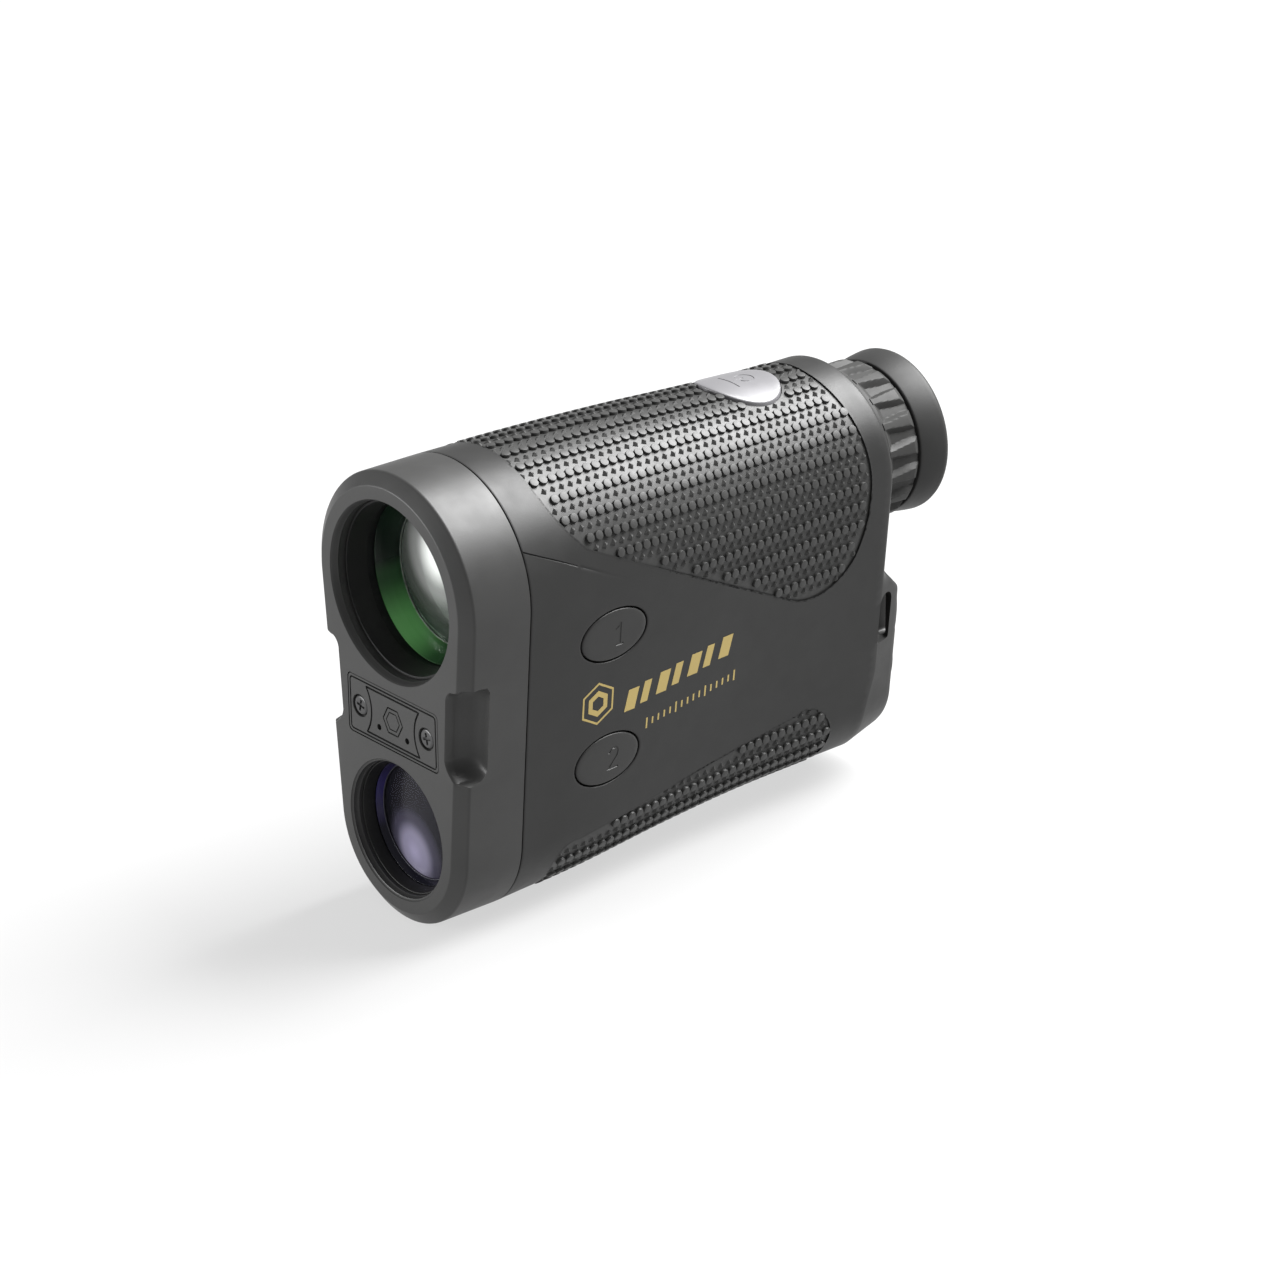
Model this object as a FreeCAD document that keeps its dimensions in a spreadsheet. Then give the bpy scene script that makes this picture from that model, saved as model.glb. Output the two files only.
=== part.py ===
import FreeCAD, Part
import os
import math
import Sketcher

# Laser rangefinder, built around two parallel optical axes that run along Y.
# +Z is up, the nose faces -Y, the numbered buttons are on the +X side.
# The origin is under the middle of the object, level with the lowest point of the nose.
# Lengths are millimetres. "depth" always means the distance behind the front face.

V = FreeCAD.Vector
doc = FreeCAD.newDocument("rangefinder")

# ---------------------------------------------------------------- driving sizes

SIZES = {
    # overall layout
    "front_face": -53.4,
    "view_axis": 56.6,
    "receiver_axis": 16.0,
    "battery_axis": 20.6,
    "wall": 2.3,
    # nose bezel
    "nose_depth": 12.6,
    "nose_top_radius": 19.3,
    "nose_low_radius": 16.0,
    "nose_chamfer_face": 2.15,
    "nose_chamfer_side": 1.6,
    "spigot_step": 2.5,
    "spigot_land": 1.0,
    "spigot_end": 15.4,
    "neck_step": 3.3,
    "relief_half_width": 11.4,
    "relief_half_height": 4.9,
    "relief_front": 4.6,
    "relief_back": 16.0,
    "rim_chamfer": 0.45,
    "view_rim_radius": 15.0,
    "view_bore_radius": 14.55,
    "receiver_rim_radius": 11.8,
    "receiver_bore_radius": 11.2,
    "notch_back": 4.95,
    "notch_top": 45.3,
    "notch_bottom": 29.0,
    "notch_floor": 13.3,
    "notch_round": 1.1,
    # housing stations: depth, upper radius, lower radius
    "mid_a_depth": 30.0,
    "mid_a_top": 18.95,
    "mid_a_low": 15.2,
    "mid_b_depth": 50.0,
    "mid_b_top": 18.15,
    "mid_b_low": 13.6,
    "mid_c_depth": 65.0,
    "mid_c_top": 17.25,
    "mid_c_low": 12.75,
    "mid_d_depth": 79.0,
    "mid_d_top": 16.6,
    "mid_d_low": 12.5,
    "rear_depth": 91.7,
    "rear_top": 16.5,
    "rear_low": 12.45,
    "rear_wall": 2.3,
    "bulge_depth": 95.8,
    "bulge_top": 14.9,
    "bulge_low": 11.1,
    "bulge_axis_rise": 0.7,
    "rear_edge_bevel": 1.0,
    "lanyard_front": 91.5,
    "lanyard_back": 94.1,
    "lanyard_floor": 10.2,
    "lanyard_outlet_width": 1.7,
    # front plate
    "plate_height": 34.75,
    "plate_half_width": 11.35,
    "plate_half_height": 5.0,
    "plate_corner": 0.9,
    "plate_thickness": 0.9,
    "plate_gap": 0.12,
    "plate_screw_x": 8.4,
    "screw_head_radius": 1.35,
    "screw_shank_radius": 1.0,
    "screw_end": 12.0,
    "screw_clearance": 0.1,
    "seat_clearance": 0.15,
    "seat_depth": 0.55,
    "line_width": 0.28,
    "line_depth": 0.22,
    "dot_x": 3.5,
    "dot_drop": 2.1,
    "dot_radius": 0.32,
    "dot_depth": 0.6,
    # grips
    "grip_low_skin": 1.2,
    "grip_top_skin": 0.3,
    "grip_cut_skin": -1.5,
    # side buttons
    "button_depth": 30.15,
    "button_1_height": 46.85,
    "button_2_height": 24.7,
    "button_half_length": 7.03,
    "button_half_height": 4.55,
    "button_gap": 0.28,
    "button_1_foot": 14.8,
    "button_2_foot": 12.6,
    "button_skin": 0.05,
    "side_tilt": 5.3,
    # power button
    "power_depth": 71.9,
    "power_half_width": 7.3,
    "power_half_length": 6.8,
    "power_gap": 0.25,
    "power_proud": 0.35,
    "power_foot": 68.2,
    "power_flange": 0.8,
    # objective
    "retainer_front": 2.5,
    "retainer_back": 6.45,
    "lens_radius": 13.9,
    "lens_apex": 4.9,
    "lens_edge_back": 8.4,
    "lens_back": 11.5,
    "front_curve": 60.0,
    "cement_curve": 50.0,
    "barrel_radius": 14.5,
    "barrel_inner": 12.6,
    "barrel_end": 46.0,
    "stop_radius": 11.7,
    "stop_thickness": 1.2,
    "rear_lens_radius": 10.6,
    "rear_lens_curve": 70.0,
    "oring_groove": 0.95,
    "oring_width": 1.1,
    "objective_oring_front": 13.9,
    "objective_oring_radius": 14.02,
    "oring_wire": 0.46,
    # receiver
    "receiver_lens_radius": 10.5,
    "receiver_lens_apex": 2.55,
    "receiver_lens_back": 8.2,
    "receiver_curve": 40.0,
    "receiver_barrel_radius": 11.1,
    "receiver_barrel_end": 42.0,
    "receiver_oring_front": 12.0,
    "receiver_oring_radius": 10.62,
    "cone_mouth": 9.2,
    "cone_end": 3.2,
    "cone_start": 32.0,
    "cone_wall": 1.6,
    "detector_front": 42.1,
    "detector_back": 45.2,
    "detector_radius": 4.0,
    "detector_rim": 0.6,
    # prisms and display
    "prism_reach": 8.5,
    "prism_width": 17.0,
    "cradle_width": 18.6,
    "cradle_wall": 1.6,
    "cradle_window": 6.6,
    "laser_depth": 57.0,
    # eyepiece
    "tube_radius": 11.4,
    "tube_bore": 8.95,
    "guide_radius": 10.6,
    "guide_start": 95.5,
    "tube_end": 105.2,
    "ring_front": 92.2,
    "ring_back": 100.5,
    "ring_radius": 13.55,
    "ring_bore": 11.46,
    "flute_depth": 0.85,
    "flute_count": 18,
    "cell_radius": 8.89,
    "cell_bore": 7.9,
    "pin_depth": 93.8,
    "pin_radius": 0.6,
    "cell_front": 85.0,
    "cell_back": 101.0,
    "flute_front": 93.5,
    "flute_back": 99.9,
    "diopter_lead": 5.4,
    "cup_front": 100.8,
    "cup_back": 106.8,
    "cup_front_radius": 13.15,
    "cup_lip_radius": 13.9,
    "cup_opening": 9.8,
    "sleeve_bore": 10.66,
    "sleeve_radius": 12.0,
    "skirt_radius": 11.35,
    "skirt_front": 96.5,
    "sleeve_back": 105.3,
    # battery
    "battery_radius": 7.75,
    "battery_front": 65.6,
    "battery_back": 91.6,
    "battery_tube_front": 62.0,
    "battery_bore": 9.6,
    "cap_spigot_radius": 9.52,
    "cap_flange_radius": 10.8,
    "cap_front": 95.85,
    "cap_back": 97.5,
    "cap_skirt_front": 92.2,
    "cap_floor": 94.4,
    "cap_groove_radius": 8.85,
    "coin_slot_half_length": 6.2,
    "coin_slot_half_width": 0.8,
    "coin_slot_depth": 0.8,
    # chassis
    "chassis_front": 15.6,
    "chassis_thickness": 1.8,
    "chassis_inset": 2.95,
    "post_radius": 2.2,
}

# How far a cutting tool sticks out of what it cuts.
OVERSHOOT = 1.0
# Wider than the whole object: the width of blocks that stand for a side-view outline.
FULL_WIDTH = 60.0
# Heights below and above every part of the skin over the power button.
ABOVE_GRIP_FLOOR, ABOVE_SKIN = 64.0, 80.0
# Depths in front of and behind every hole in the rear wall.
INSIDE_REAR, BEYOND_REAR = 85.0, 99.0


class Size:
    """A length that carries both its number and the sheet expression that gives it."""

    def __init__(self, number, text):
        self.number = number
        self.text = text

    def __add__(self, other):
        return combine(self, "+", other, self.number + number_of(other))

    def __sub__(self, other):
        return combine(self, "-", other, self.number - number_of(other))

    def __mul__(self, other):
        return combine(self, "*", other, self.number * number_of(other))

    def __radd__(self, other):
        return combine(other, "+", self, number_of(other) + self.number)

    def __rsub__(self, other):
        return combine(other, "-", self, number_of(other) - self.number)

    def __neg__(self):
        return combine(0, "-", self, -self.number)


def number_of(value):
    return value.number if isinstance(value, Size) else value


def text_of(value):
    return value.text if isinstance(value, Size) else f"({value!r})"


def combine(left, sign, right, number):
    return Size(number, f"({text_of(left)} {sign} {text_of(right)})")


def make_sheet():
    """Puts every driving size in the sheet and returns them by name."""
    sheet = doc.addObject("Spreadsheet::Sheet", "Sizes")
    for row, (name, number) in enumerate(SIZES.items(), start=1):
        sheet.set(f"A{row}", name)
        sheet.set(f"B{row}", str(number))
        sheet.setAlias(f"B{row}", name)
    doc.recompute()
    return {name: Size(number, f"Sizes.{name}") for name, number in SIZES.items()}


S = make_sheet()
PARTS = {}


def depth(distance):
    """The Y of a plane that lies the given distance behind the front face."""
    return S["front_face"] + distance


def bind(thing, prop, value):
    """Sets a property, and ties it to the sheet when the value comes from there."""
    if isinstance(value, Size):
        thing.setExpression(prop, value.text)
    else:
        setattr(thing, prop, value)


def keep(thing, name):
    """Marks an object as a finished sub-part and gives it the name of its file."""
    thing.Label = name
    PARTS[name] = thing
    return thing


def place(thing, x=0.0, y=0.0, z=0.0, rotation=None):
    """Gives an object its Placement, tied to the sheet where the place comes from there."""
    turn = rotation or FreeCAD.Rotation()
    thing.Placement = FreeCAD.Placement(V(number_of(x), number_of(y), number_of(z)), turn)
    for axis, value in (("x", x), ("y", y), ("z", z)):
        if isinstance(value, Size):
            thing.setExpression(f"Placement.Base.{axis}", value.text)
    return thing


# ---------------------------------------------------------------- sketches

def new_sketch(body, plane, offset=0.0):
    """A sketch on one of the body's own origin planes, moved along that plane's normal."""
    sketch = body.newObject("Sketcher::SketchObject", body.Name + "_sketch")
    origin_plane = next(o for o in body.Origin.OriginFeatures if o.Role == plane)
    sketch.AttachmentSupport = [(origin_plane, "")]
    sketch.MapMode = "FlatFace"
    sketch.AttachmentOffset = FreeCAD.Placement(V(0, 0, number_of(offset)), FreeCAD.Rotation())
    if isinstance(offset, Size):
        sketch.setExpression("AttachmentOffset.Base.z", offset.text)
    return sketch


def constrain(sketch, *details, value=None):
    """Adds one constraint. A value from the sheet is bound by name."""
    if value is None:
        sketch.addConstraint(Sketcher.Constraint(*details))
        return
    index = sketch.addConstraint(Sketcher.Constraint(*details, number_of(value)))
    if isinstance(value, Size):
        name = f"size_{index}"
        sketch.renameConstraint(index, name)
        sketch.setExpression(f"Constraints.{name}", value.text)


def pin_point(sketch, shape, end, x, y):
    """Fixes one end of a sketch shape at (x, y)."""
    for kind, axis, value in (("DistanceX", -2, x), ("DistanceY", -1, y)):
        if abs(number_of(value)) < 1e-9:
            constrain(sketch, "PointOnObject", shape, end, axis)
        else:
            constrain(sketch, kind, -1, 1, shape, end, value=value)


def arc_between(start, end, radius):
    """An arc from start to end. A positive radius turns left on the way, a negative one turns right."""
    chord = end - start
    half = chord.Length / 2
    rise = math.sqrt(max(radius * radius - half * half, 0.0))
    left = V(-chord.y, chord.x, 0).normalize()
    side = 1 if radius > 0 else -1
    centre = (start + end) * 0.5 + left * (rise * side)
    first, last = (start, end) if radius > 0 else (end, start)
    angles = [math.atan2(p.y - centre.y, p.x - centre.x) for p in (first, last)]
    circle = Part.Circle(centre, V(0, 0, 1), abs(radius))
    return Part.ArcOfCircle(circle, angles[0], angles[1])


def draw_outline(sketch, points):
    """A closed outline of lines and arcs.

    A point is (x, y), or (x, y, radius) when an arc of that radius runs from it to the next point.
    """
    shapes = []
    for index, point in enumerate(points):
        after = points[(index + 1) % len(points)]
        start = V(number_of(point[0]), number_of(point[1]), 0)
        end = V(number_of(after[0]), number_of(after[1]), 0)
        if len(point) == 3:
            radius = number_of(point[2])
            shape = sketch.addGeometry(arc_between(start, end, radius))
            shapes.append((shape, 1, 2) if radius > 0 else (shape, 2, 1))
        else:
            shape = sketch.addGeometry(Part.LineSegment(start, end))
            shapes.append((shape, 1, 2))
    for index, (shape, first, _) in enumerate(shapes):
        before, _, last = shapes[index - 1]
        constrain(sketch, "Coincident", before, last, shape, first)
        pin_point(sketch, shape, first, points[index][0], points[index][1])
        if len(points[index]) == 3:
            radius = points[index][2]
            size = radius if number_of(radius) > 0 else -radius
            constrain(sketch, "Radius", shape, value=size)


def draw_circle(sketch, x, y, radius):
    circle = Part.Circle(V(number_of(x), number_of(y), 0), V(0, 0, 1), number_of(radius))
    shape = sketch.addGeometry(circle)
    pin_point(sketch, shape, 3, x, y)
    constrain(sketch, "Radius", shape, value=radius)


def draw_ellipse(sketch, half_width, half_height):
    """An ellipse about the sketch's origin. The wider half-axis lies along the sketch's X."""
    wide, high = number_of(half_width), number_of(half_height)
    shape = sketch.addGeometry(Part.Ellipse(V(0, 0, 0), wide, high))
    sketch.exposeInternalGeometry(shape)
    major, minor = shape + 1, shape + 2
    constrain(sketch, "Coincident", shape, 3, -1, 1)
    constrain(sketch, "Horizontal", major)
    constrain(sketch, "Distance", major, value=half_width * 2)
    constrain(sketch, "Distance", minor, value=half_height * 2)


def draw_hull(sketch, upper_height, lower_height, upper_radius, lower_radius):
    """The body's cross-section: two circles, one above the other, joined by straight sides."""
    high, low = number_of(upper_height), number_of(lower_height)
    big, small = number_of(upper_radius), number_of(lower_radius)
    lean = math.asin((big - small) / (high - low))
    upper = Part.ArcOfCircle(Part.Circle(V(0, high, 0), V(0, 0, 1), big), -lean, math.pi + lean)
    lower = Part.ArcOfCircle(Part.Circle(V(0, low, 0), V(0, 0, 1), small), math.pi + lean, -lean)
    side = V(math.cos(lean), -math.sin(lean), 0)
    mirrored = V(-side.x, side.y, 0)
    right = Part.LineSegment(V(0, low, 0) + side * small, V(0, high, 0) + side * big)
    left = Part.LineSegment(V(0, high, 0) + mirrored * big, V(0, low, 0) + mirrored * small)
    top, port, bottom, starboard = [sketch.addGeometry(g) for g in (upper, left, lower, right)]
    constrain(sketch, "Tangent", top, 2, port, 1)
    constrain(sketch, "Tangent", port, 2, bottom, 1)
    constrain(sketch, "Tangent", bottom, 2, starboard, 1)
    constrain(sketch, "Tangent", starboard, 2, top, 1)
    pin_point(sketch, top, 3, 0.0, upper_height)
    pin_point(sketch, bottom, 3, 0.0, lower_height)
    constrain(sketch, "Radius", top, value=upper_radius)
    constrain(sketch, "Radius", bottom, value=lower_radius)


# ---------------------------------------------------------------- bodies and features

def new_body(name):
    return doc.addObject("PartDesign::Body", name)


def feature(body, kind, name, sketch):
    made = body.newObject(f"PartDesign::{kind}", name)
    made.Profile = sketch
    sketch.Visibility = False
    return made


def dress(body, kind, name, edges):
    """Adds a fillet or chamfer on the named edges of the body's last feature."""
    base = body.Tip
    made = body.newObject(f"PartDesign::{kind}", name)
    made.Base = (base, edges)
    return made


def hull_sketch(body, distance, upper_radius, lower_radius, lower_rise=0.0):
    """The body's cross-section at one depth. The XZ plane's normal points forward, along -Y."""
    sketch = new_sketch(body, "XZ_Plane", -depth(distance))
    lower = S["receiver_axis"] + lower_rise
    draw_hull(sketch, S["view_axis"], lower, upper_radius, lower_radius)
    return sketch


def pad_back(body, sketch, length):
    """Pads an XZ-plane sketch backward, along +Y."""
    pad = feature(body, "Pad", body.Name + "_pad", sketch)
    bind(pad, "Length", length)
    pad.Reversed = True
    return pad


def pocket_back(body, sketch, length):
    """Cuts an XZ-plane sketch into the body backward, along +Y."""
    pocket = feature(body, "Pocket", body.Name + "_pocket", sketch)
    bind(pocket, "Length", length)
    pocket.Reversed = False
    return pocket


def pad_across(body, sketch, length):
    """Pads a YZ-plane sketch to both sides of the middle plane."""
    pad = feature(body, "Pad", body.Name + "_pad", sketch)
    bind(pad, "Length", length)
    pad.Midplane = True
    return pad


def turned(name, outline, axis="view_axis"):
    """A turned piece: the outline is (Y, radius) pairs, swept round one of the long axes."""
    body = new_body(name)
    sketch = new_sketch(body, "YZ_Plane")
    draw_outline(sketch, outline)
    revolution = feature(body, "Revolution", name + "_turn", sketch)
    revolution.ReferenceAxis = (sketch, ["H_Axis"])
    revolution.Angle = 360
    return place(body, z=S[axis])


def ring(name, front, back, outer, inner, axis="view_axis"):
    """A plain ring or tube between two depths."""
    outline = [(depth(front), inner), (depth(back), inner), (depth(back), outer), (depth(front), outer)]
    return turned(name, outline, axis)


def disc(name, front, back, radius, axis="view_axis"):
    outline = [(depth(front), 0.0), (depth(back), 0.0), (depth(back), radius), (depth(front), radius)]
    return turned(name, outline, axis)


def box(name, low, high):
    """A Part box between two corners, each given as (x, y, z)."""
    made = doc.addObject("Part::Box", name)
    for prop, a, b in zip(("Length", "Width", "Height"), low, high):
        bind(made, prop, b - a)
    return place(made, *low)


def cylinder(name, radius, length, start, direction):
    """A Part cylinder from a start point along a direction."""
    made = doc.addObject("Part::Cylinder", name)
    bind(made, "Radius", radius)
    bind(made, "Height", length)
    return place(made, *start, rotation=FreeCAD.Rotation(V(0, 0, 1), V(*direction)))


def boolean(kind, name, base, tool):
    made = doc.addObject(f"Part::{kind}", name)
    made.Base = base
    made.Tool = tool
    return made


def cut(name, base, tool):
    return boolean("Cut", name, base, tool)


def common(name, base, tool):
    return boolean("Common", name, base, tool)


def join_all(name, shapes):
    made = doc.addObject("Part::MultiFuse", name)
    made.Shapes = shapes
    return made


def group(name, shapes):
    """Several separate solids kept as one node."""
    made = doc.addObject("Part::Compound", name)
    made.Links = shapes
    return made


def mirrored(name, source):
    """The source mirrored across the middle plane, x = 0."""
    made = doc.addObject("Part::Mirroring", name)
    made.Source = source
    made.Normal = V(1, 0, 0)
    return made


# ---------------------------------------------------------------- the body's skin

STATIONS = ("mid_a", "mid_b", "mid_c", "mid_d")


def skin(name, inset, rear="rear_depth", rear_trim=0.0):
    """A solid with the housing's tapered outer form, moved inward by the inset."""
    body = new_body(name)
    sections = [hull_sketch(body, S["nose_depth"], S["nose_top_radius"] - inset, S["nose_low_radius"] - inset)]
    for station in STATIONS:
        upper, lower = S[station + "_top"] - inset, S[station + "_low"] - inset
        sections.append(hull_sketch(body, S[station + "_depth"], upper, lower))
    last = hull_sketch(body, S[rear] - rear_trim, S["rear_top"] - inset, S["rear_low"] - inset)
    loft = feature(body, "AdditiveLoft", name + "_loft", sections[0])
    loft.Sections = sections[1:] + [last]
    return body


def side_prism(name, outline, width):
    """A block with the given outline in side view, (Y, Z), as wide as stated about the middle."""
    body = new_body(name)
    sketch = new_sketch(body, "YZ_Plane")
    draw_outline(sketch, outline)
    pad_across(body, sketch, width)
    return body


def at(distance, height):
    """A side-view point: its depth, and its height relative to the viewing axis."""
    return (depth(distance), S["view_axis"] + height)


def at_arc(distance, height, radius):
    return at(distance, height) + (radius,)


UPPER_GRIP_OUTLINE = [
    at(19.0, 24.0),
    at_arc(19.0, 18.0, 15.0),
    at_arc(23.4, 7.4, 5.0),
    at(25.8, 5.3),
    at_arc(70.0, -16.6, 11.6),
    at_arc(84.4, -12.7, 19.3),
    at_arc(86.9, -3.0, 60.0),
    at(84.7, 17.0),
    at(84.7, 24.0),
]

LOWER_GRIP_OUTLINE = [
    at(20.0, -60.0),
    at(82.6, -60.0),
    at_arc(82.6, -46.5, 8.0),
    at_arc(78.4, -38.9, 5.0),
    at(73.2, -38.5),
    at_arc(25.4, -44.4, 4.5),
    at(20.0, -49.5),
]


def slanted(thing, height):
    """Turns a piece drawn about the X axis so that X points straight out of the leaning side wall."""
    turn = FreeCAD.Rotation(V(0, 1, 0), SIZES["side_tilt"])
    place(thing, x=0.0, y=depth(S["button_depth"]), z=height, rotation=turn)
    return thing


def oval_plug(name, gap, start, length, height):
    """An oval block that points out of the side wall at a button's place."""
    body = new_body(name)
    sketch = new_sketch(body, "YZ_Plane", start)
    draw_ellipse(sketch, S["button_half_length"] - gap, S["button_half_height"] - gap)
    pad = feature(body, "Pad", name + "_pad", sketch)
    bind(pad, "Length", length)
    return slanted(body, height)


def power_plug(name, grow, bottom, top):
    """An upright oval block at the power button's place."""
    body = new_body(name)
    sketch = new_sketch(body, "XY_Plane", bottom)
    draw_ellipse(sketch, S["power_half_width"] + grow, S["power_half_length"] + grow)
    pad = feature(body, "Pad", name + "_pad", sketch)
    bind(pad, "Length", top - bottom)
    return place(body, y=depth(S["power_depth"]))


# ---------------------------------------------------------------- nose

def make_nose():
    """The front casting: oval face, two bores, a notch in each side and a spigot behind."""
    body = new_body("nose_solid")
    face = hull_sketch(body, 0.0, S["nose_top_radius"], S["nose_low_radius"])
    pad_back(body, face, S["nose_depth"])
    doc.recompute()
    front = [f"Edge{i}" for i, e in enumerate(body.Shape.Edges, start=1)
             if abs(e.BoundBox.YMax - number_of(depth(0.0))) < 1e-6]
    chamfer = dress(body, "Chamfer", "nose_chamfer", front)
    chamfer.ChamferType = "Two distances"
    bind(chamfer, "Size", S["nose_chamfer_face"])
    bind(chamfer, "Size2", S["nose_chamfer_side"])
    seat = S["spigot_step"]
    spigot = hull_sketch(body, S["nose_depth"], S["nose_top_radius"] - seat, S["nose_low_radius"] - seat)
    pad_back(body, spigot, S["spigot_land"])
    step = S["neck_step"]
    start = S["nose_depth"] + S["spigot_land"]
    neck = hull_sketch(body, start, S["nose_top_radius"] - step, S["nose_low_radius"] - step)
    pad_back(body, neck, S["spigot_end"] - start)

    tools = [
        bore_cutter("view_bore", "view_axis", S["view_rim_radius"], S["view_bore_radius"]),
        bore_cutter("receiver_bore", "receiver_axis", S["receiver_rim_radius"], S["receiver_bore_radius"]),
    ]
    notch = make_notch()
    tools += [notch, mirrored("notch_left", notch)]
    half = S["plate_half_width"] + S["plate_gap"]
    high = S["plate_half_height"] + S["plate_gap"]
    under_plate = 0.02
    recess = S["plate_thickness"] + (OVERSHOOT + under_plate)
    tools.append(rounded_plate("plate_recess", half, high, S["plate_corner"], -OVERSHOOT, recess))
    tools.append(make_relief())
    hole = S["screw_shank_radius"] + S["screw_clearance"]
    for side in (1, -1):
        start = (S["plate_screw_x"] * side, depth(0.0), S["plate_height"])
        tools.append(cylinder(f"nose_screw_hole_{side}", hole, S["relief_back"] * 0.5, start, (0, 1, 0)))
    return keep(cut("nose_cut", body, join_all("nose_tools", tools)), "nose_bezel")


def make_relief():
    """The hollow behind the front plate's seat, which takes the chassis's screw posts."""
    wide, high = S["relief_half_width"], S["relief_half_height"]
    middle = S["plate_height"]
    low = (-wide, depth(S["relief_front"]), middle - high)
    return box("nose_relief", low, (wide, depth(S["relief_back"]), middle + high))


def bore_cutter(name, axis, rim, bore):
    """A straight bore with a chamfered rim, long enough to pass right through the nose."""
    before = -0.1
    behind = S["nose_depth"] + 7.4
    outline = [
        (depth(before), 0.0),
        (depth(behind), 0.0),
        (depth(behind), bore),
        (depth(S["rim_chamfer"]), bore),
        (depth(before), rim - before),
    ]
    return turned(name, outline, axis)


def make_notch():
    """The finger-wide scoop in the side of the nose, open to the front."""
    body = new_body("notch")
    sketch = new_sketch(body, "XZ_Plane", -depth(-OVERSHOOT))
    top, bottom, floor = S["notch_top"], S["notch_bottom"], S["notch_floor"]
    outline = [
        (floor + 10.0, top + 0.5),
        (floor + 3.4, top + 0.3),
        (floor + 2.2, top, -2.0),
        (floor + 0.3, top - 2.2),
        (floor - 0.25, bottom + 3.6, 2.6),
        (floor + 1.2, bottom + 1.2),
        (floor + 2.0, bottom - 0.1),
        (floor + 10.0, bottom - 0.5),
    ]
    draw_outline(sketch, outline)
    pad_back(body, sketch, S["notch_back"] + OVERSHOOT)
    doc.recompute()
    back = number_of(depth(S["notch_back"]))
    inner = SIZES["notch_floor"] + 3.5
    rear = [f"Edge{i}" for i, e in enumerate(body.Shape.Edges, start=1)
            if abs(e.BoundBox.YMin - back) < 1e-6 and e.BoundBox.XMax < inner]
    fillet = dress(body, "Fillet", "notch_rear_round", rear)
    bind(fillet, "Radius", S["notch_round"])
    return body


def rounded_plate(name, half_width, half_height, corner, start, length):
    """A flat plate with round corners, centred on the front plate's place."""
    body = new_body(name)
    sketch = new_sketch(body, "XZ_Plane", -depth(start))
    draw_outline(sketch, [shift(point) for point in rectangle(half_width, half_height, corner)])
    pad_back(body, sketch, length)
    return body


def shift(point):
    """Moves a plate outline point up to the plate's height."""
    return (point[0], S["plate_height"] + point[1]) + tuple(point[2:])


def plate_groove(name, outer, inner):
    """An engraved line: the band between two outlines, cut into the plate's face."""
    body = new_body(name)
    sketch = new_sketch(body, "XZ_Plane", -depth(-OVERSHOOT))
    draw_outline(sketch, [shift(point) for point in outer])
    draw_outline(sketch, [shift(point) for point in inner])
    pad_back(body, sketch, S["line_depth"] + OVERSHOOT)
    return body


def rectangle(x, z, corner):
    """The outline of a rectangle with round corners, from its half width, half height and corner radius."""
    return [
        (corner - x, -z), (x - corner, -z, corner),
        (x, corner - z), (x, z - corner, corner),
        (x - corner, z), (corner - x, z, corner),
        (-x, z - corner), (-x, corner - z, corner),
    ]


def scooped(x, z, scoop):
    """A rectangle whose two short ends curve inward."""
    return [(-x, -z), (x, -z, -scoop), (x, z), (-x, z, -scoop)]


def make_front_plate():
    """The small plate between the two lenses, with engraved border lines and two screws."""
    half, high = S["plate_half_width"], S["plate_half_height"]
    plate = rounded_plate("plate_blank", half, high, S["plate_corner"], 0.0, S["plate_thickness"])
    line = S["line_width"]
    border_inset, border_corner = 0.55, 0.6
    frame_side, frame_top, frame_end_width, scoop = 1.6, 1.0, 0.45, 6.5
    wide, tall = half - border_inset, high - border_inset
    long, short = S["plate_screw_x"] - frame_side, high - frame_top
    tools = [
        plate_groove("plate_border", rectangle(wide, tall, border_corner),
                     rectangle(wide - line, tall - line, border_corner - 0.2)),
        plate_groove("plate_frame", scooped(long, short, scoop),
                     scooped(long - frame_end_width, short - line, scoop)),
    ]
    seat_radius = S["screw_head_radius"] + S["seat_clearance"]
    hole_radius = S["screw_shank_radius"] + S["screw_clearance"]
    middle = S["plate_height"]
    for side in (1, -1):
        front = (S["plate_screw_x"] * side, depth(-0.1), middle)
        mark = (S["dot_x"] * side, depth(-0.1), middle - S["dot_drop"])
        tools += [
            drill(f"plate_seat_{side}", seat_radius, front, S["seat_depth"] + 0.1),
            drill(f"plate_hole_{side}", hole_radius, front, S["plate_thickness"] + OVERSHOOT),
            drill(f"plate_dot_{side}", S["dot_radius"], mark, S["dot_depth"] + 0.1),
        ]
    keep(cut("plate_cut", plate, join_all("plate_tools", tools)), "front_plate")

    screw = make_screw()
    keep(group("plate_screw_pair", [screw, mirrored("screw_left", screw)]), "plate_screws")


def drill(name, radius, start, length):
    """A cylinder that runs straight back from a start point."""
    return cylinder(name, radius, length, start, (0, 1, 0))


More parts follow.
